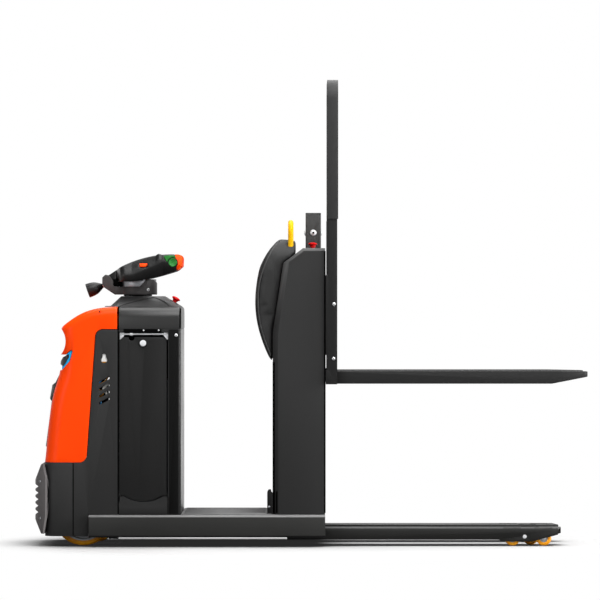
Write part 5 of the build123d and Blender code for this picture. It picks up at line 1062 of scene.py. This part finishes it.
def chain(name, route):
    data = bpy.data.curves.new(name, "CURVE")
    data.dimensions = "3D"
    line = data.splines.new("POLY")
    line.points.add(len(route) - 1)
    for point, (x, z) in zip(line.points, route):
        point.co = (x * MM, 0, z * MM, 1)
    sizes = [size * MM for size in (CHAIN_PITCH, PLATE_DEPTH, CHAIN_WIDTH)]
    route_obj = linked(name + "_route", data)
    grow(route_obj, "links", CHAIN, CHAIN_INPUTS, sizes)
    mesh = evaluated_mesh(route_obj)
    bpy.data.objects.remove(route_obj)
    return linked(name, mesh)


# the cylinder's X, the sheave's height and the radius of the chain's middle round it
CYL_X, SHEAVE_Z, CHAIN_MID = -5, 1046, 45.3
wrap = [(CYL_X + CHAIN_MID * cos(radians(a)), SHEAVE_Z + CHAIN_MID * sin(radians(a)))
        for a in range(0, 181, 12)]
front_chain = chain("leaf_chain_front", [(CYL_X + CHAIN_MID, 925)] + wrap)
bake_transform(front_chain)
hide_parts("chain_front_run")
back_chain = chain("leaf_chain_back", [(CYL_X - CHAIN_MID, 650), (CYL_X - CHAIN_MID, SHEAVE_Z)])
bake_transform(back_chain)
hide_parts("chain_back_run")


# Wires behind the slots, clipped inside the panel, and a pale bead along the pad's edges, its paler grey a
# painted highlight of the rounded edge

def tube(name, points, radius_mm, material, body, slot):
    data = bpy.data.curves.new(name, "CURVE")
    data.dimensions = "3D"
    data.bevel_depth = radius_mm * MM
    data.bevel_resolution = 3
    data.use_fill_caps = True
    line = data.splines.new("NURBS")
    line.points.add(len(points) - 1)
    for point, place in zip(line.points, points):
        point.co = tuple(c * MM for c in place) + (1,)
    line.order_u = 3
    line.use_endpoint_u = True
    line.resolution_u = 8
    route = linked(name + "_route", data)
    mesh = evaluated_mesh(route)
    bpy.data.objects.remove(route)
    obj = linked(name, mesh)
    paint(obj, material)
    smooth_faces(mesh)
    settle(obj, body, slot)


# paler grey than the pad: a painted highlight along its rounded edge
pad_edge_highlight = skin_foam("pad_edge_painted_highlight", "#3a3a3a")
wire_blue = moulding("blue_wire_jacket", "#3f86c0", 0.4)
wire_white = moulding("white_wire_jacket", "#d9d7d2", 0.4)
wire_brown = moulding("brown_wire_jacket", "#9a6a2c", 0.4)
wire_red = moulding("red_wire_jacket", "#a8281c", 0.4)
# jacket, radius, and X at the foot, at the four slots from the lowest up, and at the top
WIRES = ((wire_blue, 5.0, (-990, -959, -1004, -1000, -965, -955)),
         (wire_white, 6.5, (-925, -910, -948, -966, -900, -905)),
         (wire_brown, 4.5, (-1008, -1016, -946, -1008, -932, -930)),
         (wire_red, 4.0, (-950, -942, -905, -905, -905, -915)))
WIRE_Y = -328
WIRE_Z = (560, 668, 706, 736, 768, 830)
for i, (jacket, radius_mm, route) in enumerate(WIRES):
    tube(f"harness_wire_{i + 1}", [(x, WIRE_Y, z) for x, z in zip(route, WIRE_Z)],
         radius_mm, jacket, "chassis", "black")

# the pad's side outline, with the pale bead a little inside it; its top corners are rounded from the shoulder
# up
PAD_SIDE = ((-198, 880), (-225, 950), (-240, 1000), (-251, 1050), (-256, 1100), (-257, 1140), (-255, 1180),
            (-249, 1224), (-236, 1270), (-221, 1310), (-202, 1350), (-180, 1385), (-160, 1408))
BEAD_INSIDE = 9
PAD_SHOULDER_Y, PAD_SHOULDER_Z, PAD_CORNER = 134.5, 1310, 110
for side, sign in (("left", -1), ("right", 1)):
    bead_line = []
    for x, z in PAD_SIDE:
        over = max(0, z - PAD_SHOULDER_Z)
        y = PAD_SHOULDER_Y + sqrt(PAD_CORNER ** 2 - over ** 2)
        bead_line.append((x + BEAD_INSIDE, sign * y, z))
    tube("pad_bead_highlight_" + side, bead_line, 3.2, pad_edge_highlight, "chassis", "pad")


# Studio

WHITE = linear("#ffffff")


def empty_tree(owner):
    # the owner's node tree, emptied, with its light path and the rays that see the background itself
    owner.use_nodes = True
    tree = owner.node_tree
    tree.nodes.clear()
    path = add(tree, "ShaderNodeLightPath")
    seen = add(tree, "ShaderNodeMath",
               {0: path.outputs["Is Camera Ray"], 1: path.outputs["Is Transmission Ray"]}, operation="MAXIMUM")
    return tree, path, seen.outputs[0]


def room():
    scene = bpy.context.scene
    scene.view_settings.view_transform = "Standard"
    world = bpy.data.worlds.new("studio")
    scene.world = world
    tree, path, seen = empty_tree(world)
    soft = add(tree, "ShaderNodeBackground", None, {"Color": WHITE, "Strength": 0.2})
    white = add(tree, "ShaderNodeBackground", None, {"Color": WHITE, "Strength": 1.0})
    # mirrored in the truck, the room is bright along the ground and dim above
    place = add(tree, "ShaderNodeTexCoord")
    way = add(tree, "ShaderNodeSeparateXYZ", {0: place.outputs["Generated"]})
    dimming = add(tree, "ShaderNodeMapRange", {"Value": way.outputs["Z"]},
                  {"From Min": 0.08, "From Max": 0.35, "To Min": 1.0, "To Max": 0.1})
    mirrored = add(tree, "ShaderNodeBackground", {"Strength": dimming.outputs["Result"]}, {"Color": WHITE})
    lit = add(tree, "ShaderNodeMixShader",
              {0: path.outputs["Is Glossy Ray"], 1: soft.outputs[0], 2: mirrored.outputs[0]})
    both = add(tree, "ShaderNodeMixShader", {0: seen, 1: lit.outputs[0], 2: white.outputs[0]})
    add(tree, "ShaderNodeOutputWorld", {0: both.outputs[0]})


def pale_floor():
    material = bpy.data.materials.new("pale_floor")
    tree, path, seen = empty_tree(material)
    # pale enough to come out nearly white in the open, so that shadows fade out softly, and darker where the
    # truck stands close over it: a painted shadow
    painted_shadow_ao = add(tree, "ShaderNodeAmbientOcclusion", None, {"Distance": 0.4}, samples=12)
    shade = add(tree, "ShaderNodeValToRGB", {"Fac": painted_shadow_ao.outputs["AO"]})
    set_ramp(shade, (0.25, linear("#181818")), (0.9, linear("#b2b2b2")))
    pale = add(tree, "ShaderNodeBsdfDiffuse", {"Color": shade.outputs["Color"]})
    glow = add(tree, "ShaderNodeEmission", None, {"Color": WHITE, "Strength": 0.022})
    lit = add(tree, "ShaderNodeAddShader", {0: pale.outputs[0], 1: glow.outputs[0]})
    # it throws little light back up, so that undersides stay dark
    dull = add(tree, "ShaderNodeBsdfDiffuse", None, {"Color": linear("#6f6f6f")})
    # it turns to plain white away from the truck, sooner for the eye than for glossy faces that mirror it
    place = add(tree, "ShaderNodeTexCoord")
    reach = add(tree, "ShaderNodeVectorMath", {0: place.outputs["Object"]}, operation="LENGTH")
    near, fade = (add(tree, "ShaderNodeMapRange", {"Value": reach.outputs["Value"]},
                      {"From Min": start, "From Max": end}, interpolation_type="SMOOTHSTEP")
                  for start, end in ((1.2, 1.6), (1.7, 3.5)))
    white = add(tree, "ShaderNodeEmission", None, {"Color": WHITE, "Strength": 1.0})
    shown = add(tree, "ShaderNodeMixShader",
                {0: near.outputs["Result"], 1: lit.outputs[0], 2: white.outputs[0]})
    far = add(tree, "ShaderNodeMath", {0: path.outputs["Is Glossy Ray"], 1: fade.outputs["Result"]},
              operation="MULTIPLY")
    unseen = add(tree, "ShaderNodeMixShader", {0: far.outputs[0], 1: dull.outputs[0], 2: white.outputs[0]})
    both = add(tree, "ShaderNodeMixShader", {0: seen, 1: unseen.outputs[0], 2: shown.outputs[0]})
    # from below it is clear, so that the underside can be seen
    below = add(tree, "ShaderNodeNewGeometry")
    clear = add(tree, "ShaderNodeBsdfTransparent")
    floor_face = add(tree, "ShaderNodeMixShader",
                     {0: below.outputs["Backfacing"], 1: both.outputs[0], 2: clear.outputs[0]})
    add(tree, "ShaderNodeOutputMaterial", {0: floor_face.outputs[0]})
    mesh = bpy.data.meshes.new("floor")
    mesh.from_pydata([(-60, -60, 0), (60, -60, 0), (60, 60, 0), (-60, 60, 0)], [], [(0, 1, 2, 3)])
    mesh.materials.append(material)
    linked("floor", mesh)


def lamp(name, place, target, size, power):
    data = bpy.data.lights.new(name, "AREA")
    data.shape = "SQUARE"
    data.size = size
    data.energy = power
    obj = linked(name, data)
    obj.location = place
    obj.rotation_euler = (Vector(target) - Vector(place)).to_track_quat("-Z", "Y").to_euler()


room()
pale_floor()
lamp("right_softbox", (8.5, -2.0, 2.6), (0, 0, 1.0), 4.0, 800)
lamp("left_front_softbox", (-8.0, -9.0, 2.4), (0, 0, 0.9), 4.0, 280)
lamp("right_front_softbox", (8.0, -9.0, 2.4), (0, 0, 0.9), 4.0, 280)
lamp("high_front_softbox", (0.2, -4.8, 7.0), (0, -0.2, 0.9), 5.0, 620)
lamp("overhead_softbox", (0.8, 1.4, 6.0), (0, 0.2, 0.6), 7.0, 700)
